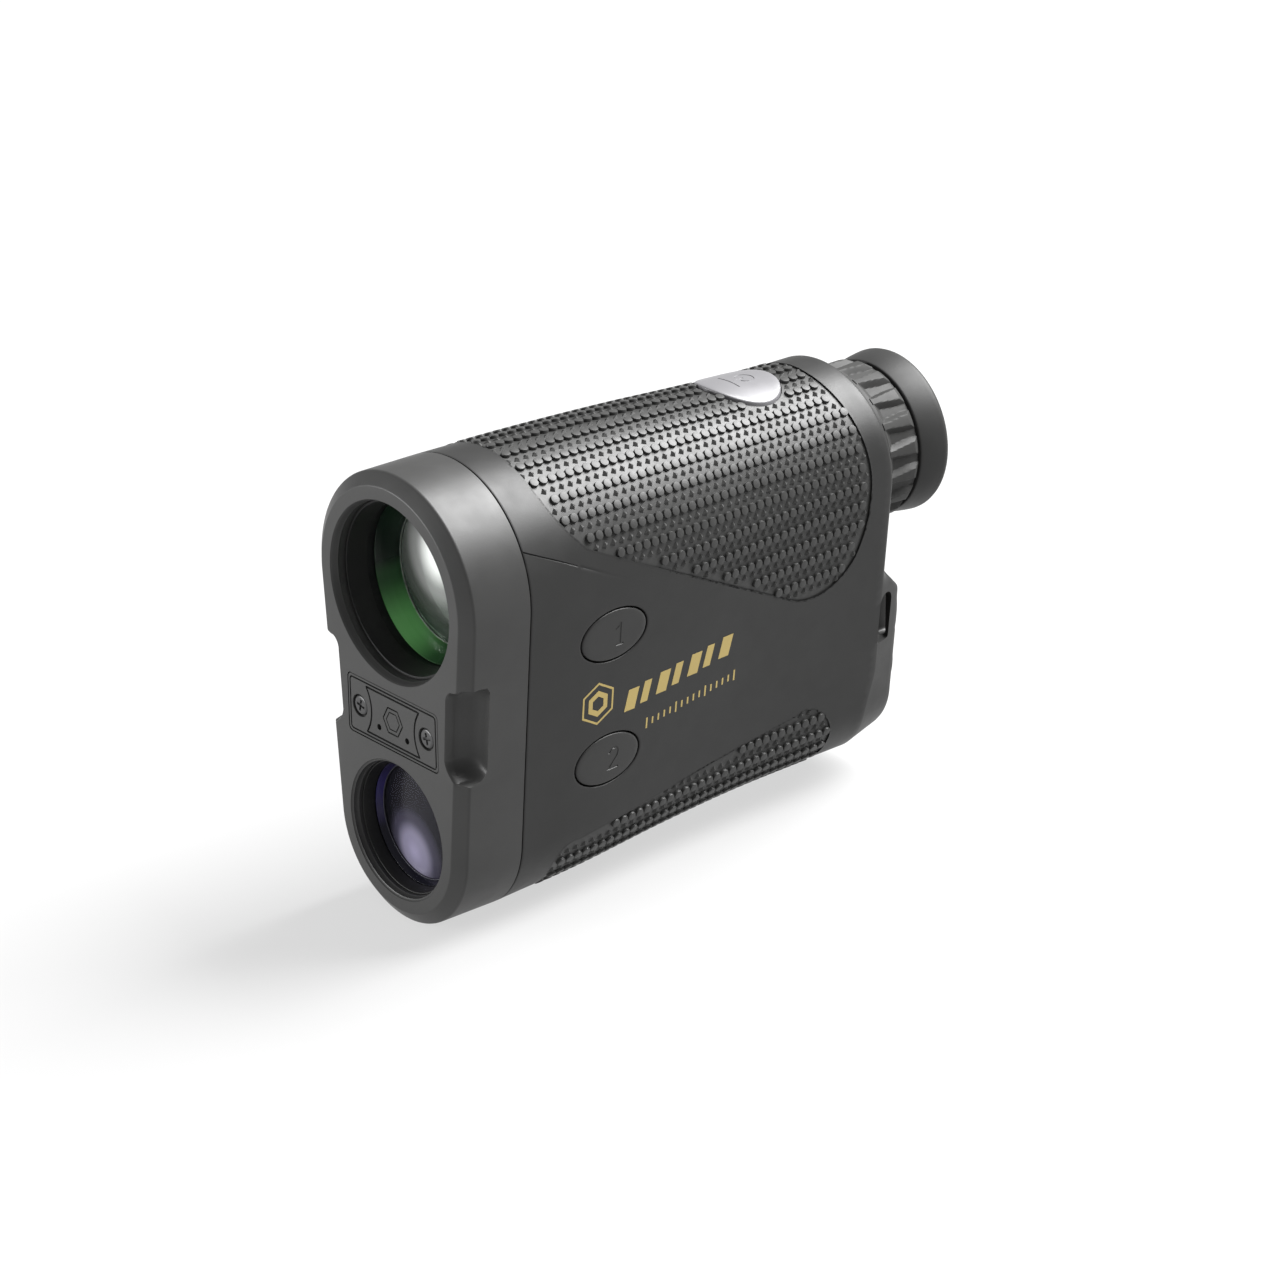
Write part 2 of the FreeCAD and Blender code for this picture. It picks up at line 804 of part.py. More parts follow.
def make_screw():
    """A small pan-head screw with a cross recess."""
    head_front, head_edge = 0.08, 0.25
    head_back = S["seat_depth"]
    head, shank, end = S["screw_head_radius"], S["screw_shank_radius"], S["screw_end"]
    point_length, point_step = 0.6, 0.35
    outline = [
        (depth(head_front), 0.0),
        (depth(end), 0.0),
        (depth(end), shank - point_step),
        (depth(end - point_length), shank),
        (depth(head_back), shank),
        (depth(head_back), head),
        (depth(head_edge), head),
        (depth(head_front), head - head_edge),
    ]
    blank = turned("screw_blank", outline, "plate_height")
    x, middle = S["plate_screw_x"], S["plate_height"]
    place(blank, x=x, z=middle)
    cross_reach, cross_half, cross_floor = 0.85, 0.19, 0.42
    arms = []
    for index, (wide, tall) in enumerate(((cross_reach, cross_half), (cross_half, cross_reach))):
        low = (x - wide, depth(-0.2), middle - tall)
        high = (x + wide, depth(cross_floor), middle + tall)
        arms.append(box(f"cross_arm_{index}", low, high))
    return cut("screw_cut", blank, join_all("cross_recess", arms))


# ---------------------------------------------------------------- housing and grips

def make_housing():
    """The tapered shell, its rear wall, the battery bulge and every opening in them."""
    shell = skin("housing_form", 0.0)
    bulge = new_body("bulge_form")
    overlap = 0.5
    near = hull_sketch(bulge, S["rear_depth"] - overlap, S["rear_top"], S["rear_low"])
    edge = S["rear_edge_bevel"]
    rise = S["bulge_axis_rise"]
    rim = hull_sketch(bulge, S["bulge_depth"] - edge, S["bulge_top"] + 0.35, S["bulge_low"] + 0.3, rise - 0.15)
    far = hull_sketch(bulge, S["bulge_depth"], S["bulge_top"] - edge, S["bulge_low"] - edge, rise)
    loft = feature(bulge, "AdditiveLoft", "bulge_loft", near)
    loft.Sections = [rim, far]
    loft.Ruled = True

    above_shelf = side_prism("rear_trim", [
        at_arc(89.7, 22.0, -150.0),
        at(91.7, -4.0),
        at(91.7, -17.0),
        at_arc(95.1, -20.6, -2.2),
        at(96.4, -22.6),
        at(100.0, -22.6),
        at(100.0, 22.0),
    ], FULL_WIDTH)
    cavity = skin("housing_cavity", S["wall"], rear_trim=S["rear_wall"])
    tools = [
        above_shelf,
        cavity,
        disc("tube_hole", INSIDE_REAR, BEYOND_REAR, S["tube_radius"] + 0.05),
        disc("battery_hole", INSIDE_REAR, BEYOND_REAR, S["battery_bore"], "battery_axis"),
        make_lanyard_channel(),
        grip_block("upper_recess", UPPER_GRIP_OUTLINE, S["grip_cut_skin"]),
        grip_block("lower_recess", LOWER_GRIP_OUTLINE, S["grip_cut_skin"]),
        power_plug("power_opening", S["power_gap"], ABOVE_GRIP_FLOOR, ABOVE_SKIN),
    ]
    inside_wall, through = 8.0, 16.0
    for number in (1, 2):
        height = S[f"button_{number}_height"]
        tools.append(oval_plug(f"button_opening_{number}", 0.0, inside_wall, through, height))
    crease = make_crease()
    tools += [crease, mirrored("crease_left", crease)]
    form = join_all("housing_outer", [shell, bulge])
    return keep(cut("housing_cut", form, join_all("housing_tools", tools)), "main_housing")


def make_crease():
    """A fine line on each side that starts at the nose joint and runs out below the grip."""
    half, length = 0.22, 24.0
    blade = box("crease_blade", (0.0, -half, -half), (length, half, half))
    start = V(18.05, number_of(depth(12.0)), SIZES["view_axis"] + 9.0)
    end = V(19.15, number_of(depth(34.0)), SIZES["view_axis"] - 1.5)
    along = FreeCAD.Rotation(V(1, 0, 0), end - start)
    on_edge = FreeCAD.Rotation(V(1, 0, 0), 45)
    blade.Placement = FreeCAD.Placement(start, along.multiply(on_edge))
    return blade


def make_lanyard_channel():
    """An L-shaped channel: in through the right side of the bulge, out through its rear face."""
    low, high = S["view_axis"] - 30.6, S["view_axis"] - 21.9
    floor, front = S["lanyard_floor"], depth(S["lanyard_front"])
    outlet = floor + S["lanyard_outlet_width"]
    inward = box("lanyard_side", (floor, front, low), (FULL_WIDTH / 2, depth(S["lanyard_back"]), high))
    rearward = box("lanyard_rear", (floor, front, low), (outlet, depth(BEYOND_REAR), high))
    return join_all("lanyard_channel", [inward, rearward])


def grip_block(name, outline, top_skin):
    """The space of one grip: the side-view outline, between two skins of the housing."""
    outer = skin(name + "_outer", top_skin)
    inner = skin(name + "_inner", S["grip_low_skin"])
    layer = cut(name + "_layer", outer, inner)
    return common(name, layer, side_prism(name + "_outline", outline, FULL_WIDTH))


def make_grips():
    upper = grip_block("upper_pad", UPPER_GRIP_OUTLINE, S["grip_top_skin"])
    opening = power_plug("grip_opening", S["power_gap"], ABOVE_GRIP_FLOOR, ABOVE_SKIN)
    keep(cut("upper_pad_cut", upper, opening), "upper_grip")
    keep(grip_block("lower_pad", LOWER_GRIP_OUTLINE, S["grip_top_skin"]), "lower_grip")


def make_buttons():
    """Two numbered side buttons and the power button, each shaped to the skin above it."""
    flush = skin("button_skin", S["button_skin"])
    past_skin = 8.0
    for number in (1, 2):
        middle, foot = S[f"button_{number}_height"], S[f"button_{number}_foot"]
        plug = oval_plug(f"button_plug_{number}", S["button_gap"], foot, past_skin, middle)
        keep(common(f"button_form_{number}", plug, flush), f"button_{number}")
    proud = skin("power_skin", -S["power_proud"])
    cap = common("power_cap", power_plug("power_plug", 0.0, S["power_foot"], ABOVE_SKIN), proud)
    under = skin("power_under_skin", S["wall"] + 0.08)
    flange = power_plug("power_foot_plug", S["power_flange"], S["power_foot"], ABOVE_SKIN)
    foot = common("power_flange", flange, under)
    keep(join_all("power_join", [cap, foot]), "power_button")


# ---------------------------------------------------------------- optics

def ball(name, radius, distance, axis="view_axis"):
    """A sphere whose front or back touches the given depth: positive radius puts its centre behind."""
    made = doc.addObject("Part::Sphere", name)
    bind(made, "Radius", radius if number_of(radius) > 0 else -radius)
    return place(made, y=depth(distance + radius), z=S[axis])


def make_objective():
    front, back = S["retainer_front"], S["retainer_back"]
    keep(turned("objective_ring_form", [
        (depth(front), S["view_bore_radius"] - 0.3),
        (depth(back), 13.7),
        (depth(back), S["barrel_radius"]),
        (depth(front), S["barrel_radius"]),
    ]), "objective_retainer")

    radius = S["lens_radius"]
    cement_sag = 1.97
    cement_apex = S["lens_edge_back"] + cement_sag
    crown_blank = disc("crown_blank", S["lens_apex"], cement_apex, radius)
    crown = common("crown_front", crown_blank, ball("crown_ball", S["front_curve"], S["lens_apex"]))
    cement = ball("cement_ball", -S["cement_curve"], cement_apex)
    keep(common("crown_back", crown, cement), "objective_front_lens")
    flint_blank = disc("flint_blank", S["lens_edge_back"], S["lens_back"], radius)
    hollow = ball("flint_ball", -S["cement_curve"], cement_apex)
    keep(cut("flint_cut", flint_blank, hollow), "objective_second_lens")

    lens_gap = 0.05
    seat = radius + lens_gap
    outer, end = S["barrel_radius"], S["barrel_end"]
    stop_front = S["lens_back"]
    stop_back = stop_front + S["stop_thickness"]
    inner_seat = S["rear_lens_radius"]
    step, taper = 4.0, 5.2
    keep(turned("objective_barrel_form", [
        (depth(back), seat),
        (depth(stop_front), seat),
        (depth(stop_front), S["stop_radius"]),
        (depth(stop_back), S["stop_radius"]),
        (depth(stop_back), S["barrel_inner"]),
        (depth(end - step), S["barrel_inner"]),
        (depth(end - step), inner_seat),
        (depth(end), inner_seat),
        (depth(end), inner_seat + 1.8),
        (depth(end - taper), outer),
        *oring_groove(S["objective_oring_front"], outer),
        (depth(back), outer),
    ]), "objective_barrel")
    keep(oring("objective_seal", S["objective_oring_radius"], S["objective_oring_front"]), "objective_oring")

    inner_front, inner_back = end - 3.6, end - 0.8
    blank = disc("inner_lens_blank", inner_front, inner_back, inner_seat - lens_gap)
    curve = ball("inner_lens_ball", S["rear_lens_curve"], inner_front)
    keep(common("inner_lens", blank, curve), "rear_objective_lens")


def oring_groove(front, outer):
    """Outline points of a square groove, from its back edge to its front edge."""
    back, floor = front + S["oring_width"], outer - S["oring_groove"]
    return [(depth(back), outer), (depth(back), floor), (depth(front), floor), (depth(front), outer)]


def oring(name, radius, groove_front, axis="view_axis"):
    """The seal that lies in the middle of a groove."""
    return torus(name, radius, S["oring_wire"], groove_front + S["oring_width"] * 0.5, axis)


def torus(name, centre_radius, wire_radius, distance, axis):
    """A wire ring lying round one of the long axes."""
    made = doc.addObject("Part::Torus", name)
    bind(made, "Radius1", centre_radius)
    bind(made, "Radius2", wire_radius)
    facing = FreeCAD.Rotation(V(0, 0, 1), V(0, 1, 0))
    return place(made, y=depth(distance), z=S[axis], rotation=facing)


def make_receiver():
    axis = "receiver_axis"
    front, back = 1.8, S["receiver_lens_apex"] + 1.33
    keep(turned("receiver_ring_form", [
        (depth(front), S["receiver_bore_radius"] - 0.3),
        (depth(back), 10.3),
        (depth(back), S["receiver_barrel_radius"]),
        (depth(front), S["receiver_barrel_radius"]),
    ], axis), "receiver_retainer")

    radius = S["receiver_lens_radius"]
    blank = disc("receiver_lens_blank", S["receiver_lens_apex"], S["receiver_lens_back"], radius, axis)
    curve = ball("receiver_ball", S["receiver_curve"], S["receiver_lens_apex"], axis)
    keep(common("receiver_lens_form", blank, curve), "receiver_lens")

    seat, outer = radius + 0.05, S["receiver_barrel_radius"]
    start, stop = back + 0.02, S["receiver_lens_back"]
    mouth, narrow, wall = S["cone_mouth"], S["cone_end"], S["cone_wall"]
    thin, step_front, step_back = 10.0, 16.5, 17.5
    keep(turned("receiver_barrel_form", [
        (depth(start), seat),
        (depth(stop), seat),
        (depth(stop), mouth),
        (depth(S["cone_start"]), mouth),
        (depth(S["receiver_barrel_end"]), narrow),
        (depth(S["receiver_barrel_end"]), narrow + wall),
        (depth(S["cone_start"] + 1.0), thin),
        (depth(step_back), thin),
        (depth(step_front), outer),
        *oring_groove(S["receiver_oring_front"], outer),
        (depth(start), outer),
    ], axis), "receiver_barrel")
    keep(oring("receiver_seal", S["receiver_oring_radius"], S["receiver_oring_front"], axis), "receiver_oring")

    can_front, can_back = S["detector_front"], S["detector_back"]
    can = S["detector_radius"]
    rim, rim_thickness = can + S["detector_rim"], 0.8
    board_radius, board_thickness = 9.8, 1.2
    keep(turned("detector_form", [
        (depth(can_front), 0.0),
        (depth(can_back), 0.0),
        (depth(can_back), rim),
        (depth(can_back - rim_thickness), rim),
        (depth(can_back - rim_thickness), can),
        (depth(can_front), can),
    ], axis), "detector")
    board = disc("detector_board_form", can_back, can_back + board_thickness, board_radius, axis)
    keep(board, "detector_board")


def make_prisms():
    """Two erecting prisms with a thin air gap, in a cradle with a window at each end."""
    high = S["prism_reach"]
    front, back = 50.0, 71.0
    keep(side_prism("front_prism_form", [
        at(front, -high), at(60.5, -high), at(66.0, -3.0), at(54.5, high), at(front, high),
    ], S["prism_width"]), "front_prism")
    keep(side_prism("roof_prism_form", [
        at(55.0, high), at(back, -7.5), at(back, high),
    ], S["prism_width"]), "roof_prism")

    wall, gap = S["cradle_wall"], 0.2
    inner_front, inner_back, floor = front - gap, back + gap, -8.6
    blank = side_prism("cradle_form", [
        at(inner_front - wall, high), at(inner_front - wall, floor - wall),
        at(inner_back + wall, floor - wall), at(inner_back + wall, high),
        at(inner_back, high), at(inner_back, floor), at(inner_front, floor), at(inner_front, high),
    ], S["cradle_width"])
    window = disc("cradle_window", 46.0, 75.0, S["cradle_window"])
    port_start = (0.0, depth(S["laser_depth"]), S["view_axis"] - 12.0)
    laser_port = cylinder("laser_port", 2.9, 6.0, port_start, (0, 0, 1))
    keep(cut("cradle_cut", blank, join_all("cradle_tools", [window, laser_port])), "prism_cradle")
    make_laser()


def make_laser():
    """The laser: a can with a flange, that stands upright below the prisms."""
    laser = new_body("laser_form")
    sketch = new_sketch(laser, "YZ_Plane")
    can, flange = 2.8, 4.2
    top, shoulder, bottom = -10.4, -16.4, -17.6
    draw_outline(sketch, [
        (0.0, bottom), (flange, bottom), (flange, shoulder), (can, shoulder), (can, top), (0.0, top),
    ])
    turn = feature(laser, "Revolution", "laser_turn", sketch)
    turn.ReferenceAxis = (sketch, ["V_Axis"])
    turn.Angle = 360
    keep(place(laser, y=depth(S["laser_depth"]), z=S["view_axis"]), "laser_diode")


def make_display():
    """The see-through display behind the prisms, and the film that joins it to the main board."""
    keep(box_at("display_form", (-8.0, 74.6, -8.0), (8.0, 76.1, 8.0)), "display_panel")
    keep(box_at("display_flex_form", (-4.0, 76.15, -21.35), (4.0, 76.35, -4.0)), "display_flex")


def box_at(name, low, high):
    """A box whose corners are (x, depth, height relative to the viewing axis)."""
    return box(name, (low[0], *at(low[1], low[2])), (high[0], *at(high[1], high[2])))


# ---------------------------------------------------------------- eyepiece

def make_eyepiece_tube():
    """The fixed tube: flange inside the rear wall, bearing for the diopter ring, guide for the eyecup."""
    wall_front = S["rear_depth"] - S["rear_wall"]
    tube_front, nose_radius = 78.6, 10.4
    flange_front, flange_radius = 87.4, 13.2
    blank = turned("tube_blank", [
        (depth(tube_front), S["tube_bore"]),
        (depth(S["tube_end"]), S["tube_bore"]),
        (depth(S["tube_end"]), S["guide_radius"]),
        (depth(S["guide_start"]), S["guide_radius"]),
        (depth(S["guide_start"]), S["tube_radius"]),
        (depth(wall_front), S["tube_radius"]),
        (depth(wall_front), flange_radius),
        (depth(flange_front), flange_radius),
        (depth(flange_front), nose_radius),
        (depth(tube_front), nose_radius),
    ])
    travel, side_gap, half_width = 0.95, 0.04, 15.0
    reach, half = S["pin_radius"] + travel, S["pin_radius"] + side_gap
    middle = S["view_axis"]
    low = (-half_width, depth(S["pin_depth"] - reach), middle - half)
    high = (half_width, depth(S["pin_depth"] + reach), middle + half)
    keep(cut("tube_cut", blank, box("pin_slot", low, high)), "eyepiece_tube")


def make_diopter_ring():
    """The fluted ring that turns on the tube. Two helical grooves inside it drive the lens cell's pins."""
    outer = S["ring_radius"]
    front, back = S["ring_front"], S["ring_back"]
    edge, lead_length, lead_step = 0.45, 0.9, 0.5
    blank = turned("ring_blank", [
        (depth(front), S["ring_bore"]),
        (depth(back), S["ring_bore"]),
        (depth(back), outer - edge),
        (depth(back - edge), outer),
        (depth(front + lead_length), outer),
        (depth(front), outer - lead_step),
    ])
    groove = cam_groove("cam_groove_1", 0.0)
    opposite = cam_groove("cam_groove_2", 180.0)
    flutes = make_flutes()
    keep(cut("ring_cut", blank, join_all("ring_tools", [groove, opposite, flutes])), "diopter_ring")


def cam_groove(name, angle):
    """One helical groove: it holds its pin at the given angle when the ring is at rest."""
    half_turn = 66.0
    rate = SIZES["diopter_lead"] / 360.0
    body = new_body(name)
    sketch = new_sketch(body, "YZ_Plane")
    side_gap = 0.09
    half = S["pin_radius"] + side_gap
    start = depth(S["pin_depth"] - rate * half_turn)
    low, high = 11.2, 12.3
    outline = [(start - half, low), (start + half, low), (start + half, high), (start - half, high)]
    draw_outline(sketch, outline)
    helix = feature(body, "AdditiveHelix", name + "_sweep", sketch)
    helix.ReferenceAxis = (sketch, ["H_Axis"])
    helix.Mode = "pitch-height-angle"
    bind(helix, "Pitch", S["diopter_lead"])
    helix.Height = rate * half_turn * 2
    helix.LeftHanded = True
    return place(body, z=S["view_axis"], rotation=FreeCAD.Rotation(V(0, 1, 0), 90.0 + half_turn + angle))


def make_flutes():
    """Wedge-shaped valleys round the ring, pointed at the front and wide at the back."""
    body = new_body("flute")
    radius = S["ring_radius"]
    above = radius + 0.9
    back = new_sketch(body, "XZ_Plane", -depth(S["flute_back"]))
    draw_outline(back, trough(0.95, radius - S["flute_depth"], 1.75, above))
    front = new_sketch(body, "XZ_Plane", -depth(S["flute_front"]))
    draw_outline(front, trough(0.25, radius - 0.2, 0.6, above))
    loft = feature(body, "AdditiveLoft", "flute_loft", back)
    loft.Sections = [front]
    loft.Ruled = True
    doc.recompute()
    pattern = body.newObject("PartDesign::PolarPattern", "flute_pattern")
    pattern.Originals = [loft]
    pattern.Axis = (next(o for o in body.Origin.OriginFeatures if o.Role == "Y_Axis"), [""])
    pattern.Angle = 360
    bind(pattern, "Occurrences", S["flute_count"])
    body.Tip = pattern
    return place(body, z=S["view_axis"])


def trough(low_half, low, high_half, high):
    """A trapezoid that is wider at its top."""
    return [(-low_half, low), (low_half, low), (high_half, high), (-high_half, high)]


def make_ocular():
    """The sliding lens cell with its lenses, retaining ring and two guide pins."""
    bore = S["cell_bore"]
    blank = ring("cell_blank", S["cell_front"], S["cell_back"], S["cell_radius"], bore)
    across, y, z = 15.0, depth(S["pin_depth"]), S["view_axis"]
    holes = cylinder("cell_pin_hole", S["pin_radius"], across * 2, (-across, y, z), (1, 0, 0))
    keep(cut("cell_cut", blank, holes), "ocular_cell")
    keep(double_convex("field", 86.2, 90.2, 28.0, 28.0, bore), "field_lens")
    keep(double_convex("eye", 95.4, 99.8, 24.0, 34.0, bore), "eye_lens")
    front, back = 99.55, 100.8
    keep(turned("ocular_ring_form", [
        (depth(front), 7.2), (depth(back), 6.9), (depth(back), bore), (depth(front), bore),
    ]), "ocular_retainer")
    pin_start, pin_length = 8.0, 4.05
    pin = cylinder("guide_pin", S["pin_radius"], pin_length, (pin_start, y, z), (1, 0, 0))
    keep(group("guide_pin_pair", [pin, mirrored("guide_pin_left", pin)]), "diopter_pins")


def double_convex(name, front, back, front_curve, back_curve, radius):
    """A lens with two bulging faces."""
    blank = disc(name + "_blank", front, back, radius)
    first = common(name + "_front", blank, ball(name + "_ball_front", front_curve, front))
    return common(name + "_back", first, ball(name + "_ball_back", -back_curve, back))


def make_eyecup():
    """The twist-up eyecup: rubber cup on a metal sleeve, carried by a lift ring on the tube."""
    skirt, bore, front = S["skirt_radius"], S["sleeve_bore"], S["skirt_front"]
    play = 0.05
    keep(ring("lift_ring_form", 95.6, front - play, skirt, bore), "eyecup_lift_ring")
    cup_front, sleeve_back, sleeve = S["cup_front"], S["sleeve_back"], S["sleeve_radius"]
    keep(turned("sleeve_form", [
        (depth(front), bore),
        (depth(sleeve_back), bore),
        (depth(sleeve_back), sleeve),
        (depth(cup_front), sleeve),
        (depth(cup_front), skirt),
        (depth(front), skirt),
    ]), "eyecup_sleeve")
    lip, back, opening = S["cup_lip_radius"], S["cup_back"], S["cup_opening"]
    lip_round, mouth_round, flare, edge = 1.1, 0.9, 24.0, 0.3
    keep(turned("cup_form", [
        (depth(cup_front), sleeve),
        (depth(sleeve_back), sleeve),
        (depth(sleeve_back), opening + 0.5),
        (depth(back - mouth_round), opening, -mouth_round),
        (depth(back), opening + mouth_round),
        (depth(back), lip - lip_round, -lip_round),
        (depth(back - lip_round), lip, -flare),
        (depth(cup_front + edge), S["cup_front_radius"]),
        (depth(cup_front), S["cup_front_radius"] - edge),
    ]), "eyecup")


# ---------------------------------------------------------------- battery

def make_battery():
    """The battery in its tube, with the spring in front of it."""
    axis = "battery_axis"
    front = S["battery_tube_front"]
    wall_front = S["rear_depth"] - S["rear_wall"]
    floor, play = front + 1.2, 0.4
    inner, outer = S["battery_radius"] + play, S["battery_bore"] - 0.1
    keep(turned("battery_tube_form", [
        (depth(front), 0.0),
        (depth(floor), 0.0),
        (depth(floor), inner),
        (depth(wall_front), inner),
        (depth(wall_front), outer),
        (depth(front), outer),
    ], axis), "battery_tube")
    cell_front, cell_back, cell = S["battery_front"], S["battery_back"], S["battery_radius"]
    nub_length, nub_radius, bevel = 0.8, 3.0, 0.6
    keep(turned("battery_form", [
        (depth(cell_front), 0.0),
        (depth(cell_back + nub_length), 0.0),
        (depth(cell_back + nub_length), nub_radius),
        (depth(cell_back), nub_radius),
        (depth(cell_back), cell - bevel),
        (depth(cell_back - bevel), cell),
        (depth(cell_front), cell),
    ], axis), "battery")

    spring = new_body("spring_form")
    sketch = new_sketch(spring, "YZ_Plane")
    coil_start, coil_radius, wire_radius = front + 1.55, 5.0, 0.32
    draw_circle(sketch, depth(coil_start), coil_radius, wire_radius)
    helix = feature(spring, "AdditiveHelix", "spring_sweep", sketch)
    helix.ReferenceAxis = (sketch, ["H_Axis"])
    helix.Mode = "pitch-height-angle"
    helix.Pitch = 0.85
    helix.Height = 1.7
    keep(place(spring, z=S[axis]), "battery_spring")


def make_battery_cap():
    """The screw cap behind the battery, with its seal, its coin slot and its contact."""
    axis = "battery_axis"
    spigot, flange = S["cap_spigot_radius"], S["cap_flange_radius"]
    face, back = S["cap_front"], S["cap_back"]
    skirt, floor, groove = S["cap_skirt_front"], S["cap_floor"], S["cap_groove_radius"]
    groove_back, groove_front = face - 0.15, face - 1.05
    bevel, skirt_bore = 0.6, 8.0
    blank = turned("cap_blank", [
        (depth(floor), 0.0),
        (depth(back), 0.0),
        (depth(back), flange - bevel),
        (depth(back - bevel), flange),
        (depth(face), flange),
        (depth(face), spigot),
        (depth(groove_back), spigot),
        (depth(groove_back), groove),
        (depth(groove_front), groove),
        (depth(groove_front), spigot),
        (depth(skirt), spigot),
        (depth(skirt), skirt_bore),
        (depth(floor), skirt_bore),
    ], axis)
    long, half, middle = S["coin_slot_half_length"], S["coin_slot_half_width"], S[axis]
    low = (-long, depth(back - S["coin_slot_depth"]), middle - half)
    slot = box("coin_slot", low, (long, depth(back + OVERSHOOT), middle + half))
    keep(cut("cap_cut", blank, slot), "battery_cap")
    seal_radius, seal_wire = 9.21, 0.34
    keep(torus("cap_seal", seal_radius, seal_wire, face - 0.6, axis), "battery_cap_oring")
    tip, foot, tip_radius, foot_radius = 92.45, 94.1, 2.6, 5.5
    keep(turned("cap_contact_form", [
        (depth(tip), 0.0), (depth(floor), 0.0), (depth(floor), foot_radius), (depth(foot), foot_radius),
        (depth(foot), tip_radius), (depth(tip), tip_radius),
    ], axis), "battery_contact")


# ---------------------------------------------------------------- chassis and boards

def make_chassis():
    """The metal frame behind the nose: a plate with two lens holes, screw posts and two board rails."""
    body = new_body("chassis_plate")
    inset = S["chassis_inset"]
    sketch = hull_sketch(body, S["chassis_front"], S["nose_top_radius"] - inset, S["nose_low_radius"] - inset)
    pad_back(body, sketch, S["chassis_thickness"])
    solids, holes = [body], []
    middle = S["plate_height"]
    post_front, post_length, hole_front, hole_length = 4.7, 11.2, 4.0, 9.5
    rail_front, rail_back, rail_low, rail_high = 17.0, 84.0, -24.4, -22.65
    for side in (1, -1):
        x = S["plate_screw_x"] * side
        post = (x, depth(post_front), middle)
        hole = (x, depth(hole_front), middle)
        solids.append(drill(f"screw_post_{side}", S["post_radius"], post, post_length))
        holes.append(drill(f"post_hole_{side}", S["screw_shank_radius"], hole, hole_length))
        near, far = (7.0, 10.2) if side == 1 else (-10.2, -7.0)
        solids.append(box_at(f"board_rail_{side}", (near, rail_front, rail_low), (far, rail_back, rail_high)))
    front, back = 14.0, 19.0
    holes.append(disc("chassis_view_hole", front, back, S["barrel_radius"] + 0.05))
    holes.append(disc("chassis_receiver_hole", front, back, S["receiver_barrel_radius"] + 0.1, "receiver_axis"))
    keep(cut("chassis_cut", join_all("chassis_solid", solids), join_all("chassis_holes", holes)), "chassis")


def make_nose_seal():
    """The oval gasket between the nose's spigot and the housing."""
    seal = new_body("seal_form")
    outside, within, thickness = 2.4, 3.25, 1.0
    top, low = S["nose_top_radius"], S["nose_low_radius"]
    outer = hull_sketch(seal, S["nose_depth"] + 1.05, top - outside, low - outside)
    pad_back(seal, outer, thickness)
    inner = hull_sketch(seal, S["nose_depth"] + 0.5, top - within, low - within)
    pocket_back(seal, inner, thickness * 3)
    keep(seal, "nose_seal")


def make_boards():
    """The main board with its chips, and the switches behind the buttons on boards of their own."""
    keep(box_at("main_board_form", (-10.2, 24.0, -22.6), (10.2, 84.0, -21.4)), "main_board")
    chips = [
        box_at("controller_chip", (-6.0, 32.0, -21.4), (4.0, 42.0, -19.8)),
        box_at("memory_chip", (-7.0, 62.0, -21.4), (-2.0, 68.0, -20.3)),
        box_at("tilt_sensor", (3.0, 64.0, -21.4), (7.0, 68.0, -20.2)),
        box_at("power_chip", (-3.0, 46.0, -21.4), (2.0, 51.0, -20.0)),
        box_at("display_socket", (-5.0, 77.0, -21.4), (5.0, 79.5, -19.6)),
    ]
    keep(group("chip_set", chips), "board_chips")

    # The side switches stand square to the leaning wall, so they are drawn upright and tilted together.
    half_span, board_thickness, switch_size = 11.0, 0.8, 4.0
    board = box("side_board_form", (0.0, 0.0, 0.0), (board_thickness, 20.0, 24.8))
    tilt = FreeCAD.Rotation(V(0, 1, 0), SIZES["side_tilt"])
    board_face = -5.35
    corner = side_point(board_face - board_thickness, -10.0, -13.0)
    board.Placement = FreeCAD.Placement(corner, tilt)
    keep(board, "switch_board")
    switches = []
    half = switch_size / 2
    for number, rise in ((1, half_span), (2, -half_span)):
        switch = box(f"side_switch_{number}", (0.0, 0.0, 0.0), (1.15, switch_size, switch_size))
        switch.Placement = FreeCAD.Placement(side_point(board_face, -half, rise - half), tilt)
        switches.append(switch)
    keep(group("side_switch_pair", switches), "side_switches")

    keep(box_at("top_board_form", (-7.0, 66.0, 8.9), (7.0, 78.0, 9.7)), "power_board")
    keep(box_at("top_switch_form", (-2.0, 69.9, 9.7), (2.0, 73.9, 10.9)), "power_switch")


def side_point(out, along, up):
    """A point near the side wall: out from the surface between the buttons, along Y, and up the wall."""
    lean = math.radians(SIZES["side_tilt"])
    middle = (SIZES["button_1_height"] + SIZES["button_2_height"]) / 2
    surface = 17.1
    x = surface + out * math.cos(lean) + up * math.sin(lean)
    y = number_of(depth(SIZES["button_depth"])) + along
    return V(x, y, middle - out * math.sin(lean) + up * math.cos(lean))


# ---------------------------------------------------------------- build, check and write

def check_all():
    """Stops if any object failed to recompute or any sub-part has no valid solid."""
    for thing in doc.Objects:
        if "Invalid" in thing.State or "Error" in thing.State:
            raise RuntimeError(f"{thing.Label} failed: {thing.State}")
    for name, thing in PARTS.items():
        if thing.Shape.isNull() or not thing.Shape.isValid() or not thing.Shape.Solids:
            raise RuntimeError(f"{name} has no valid solid")


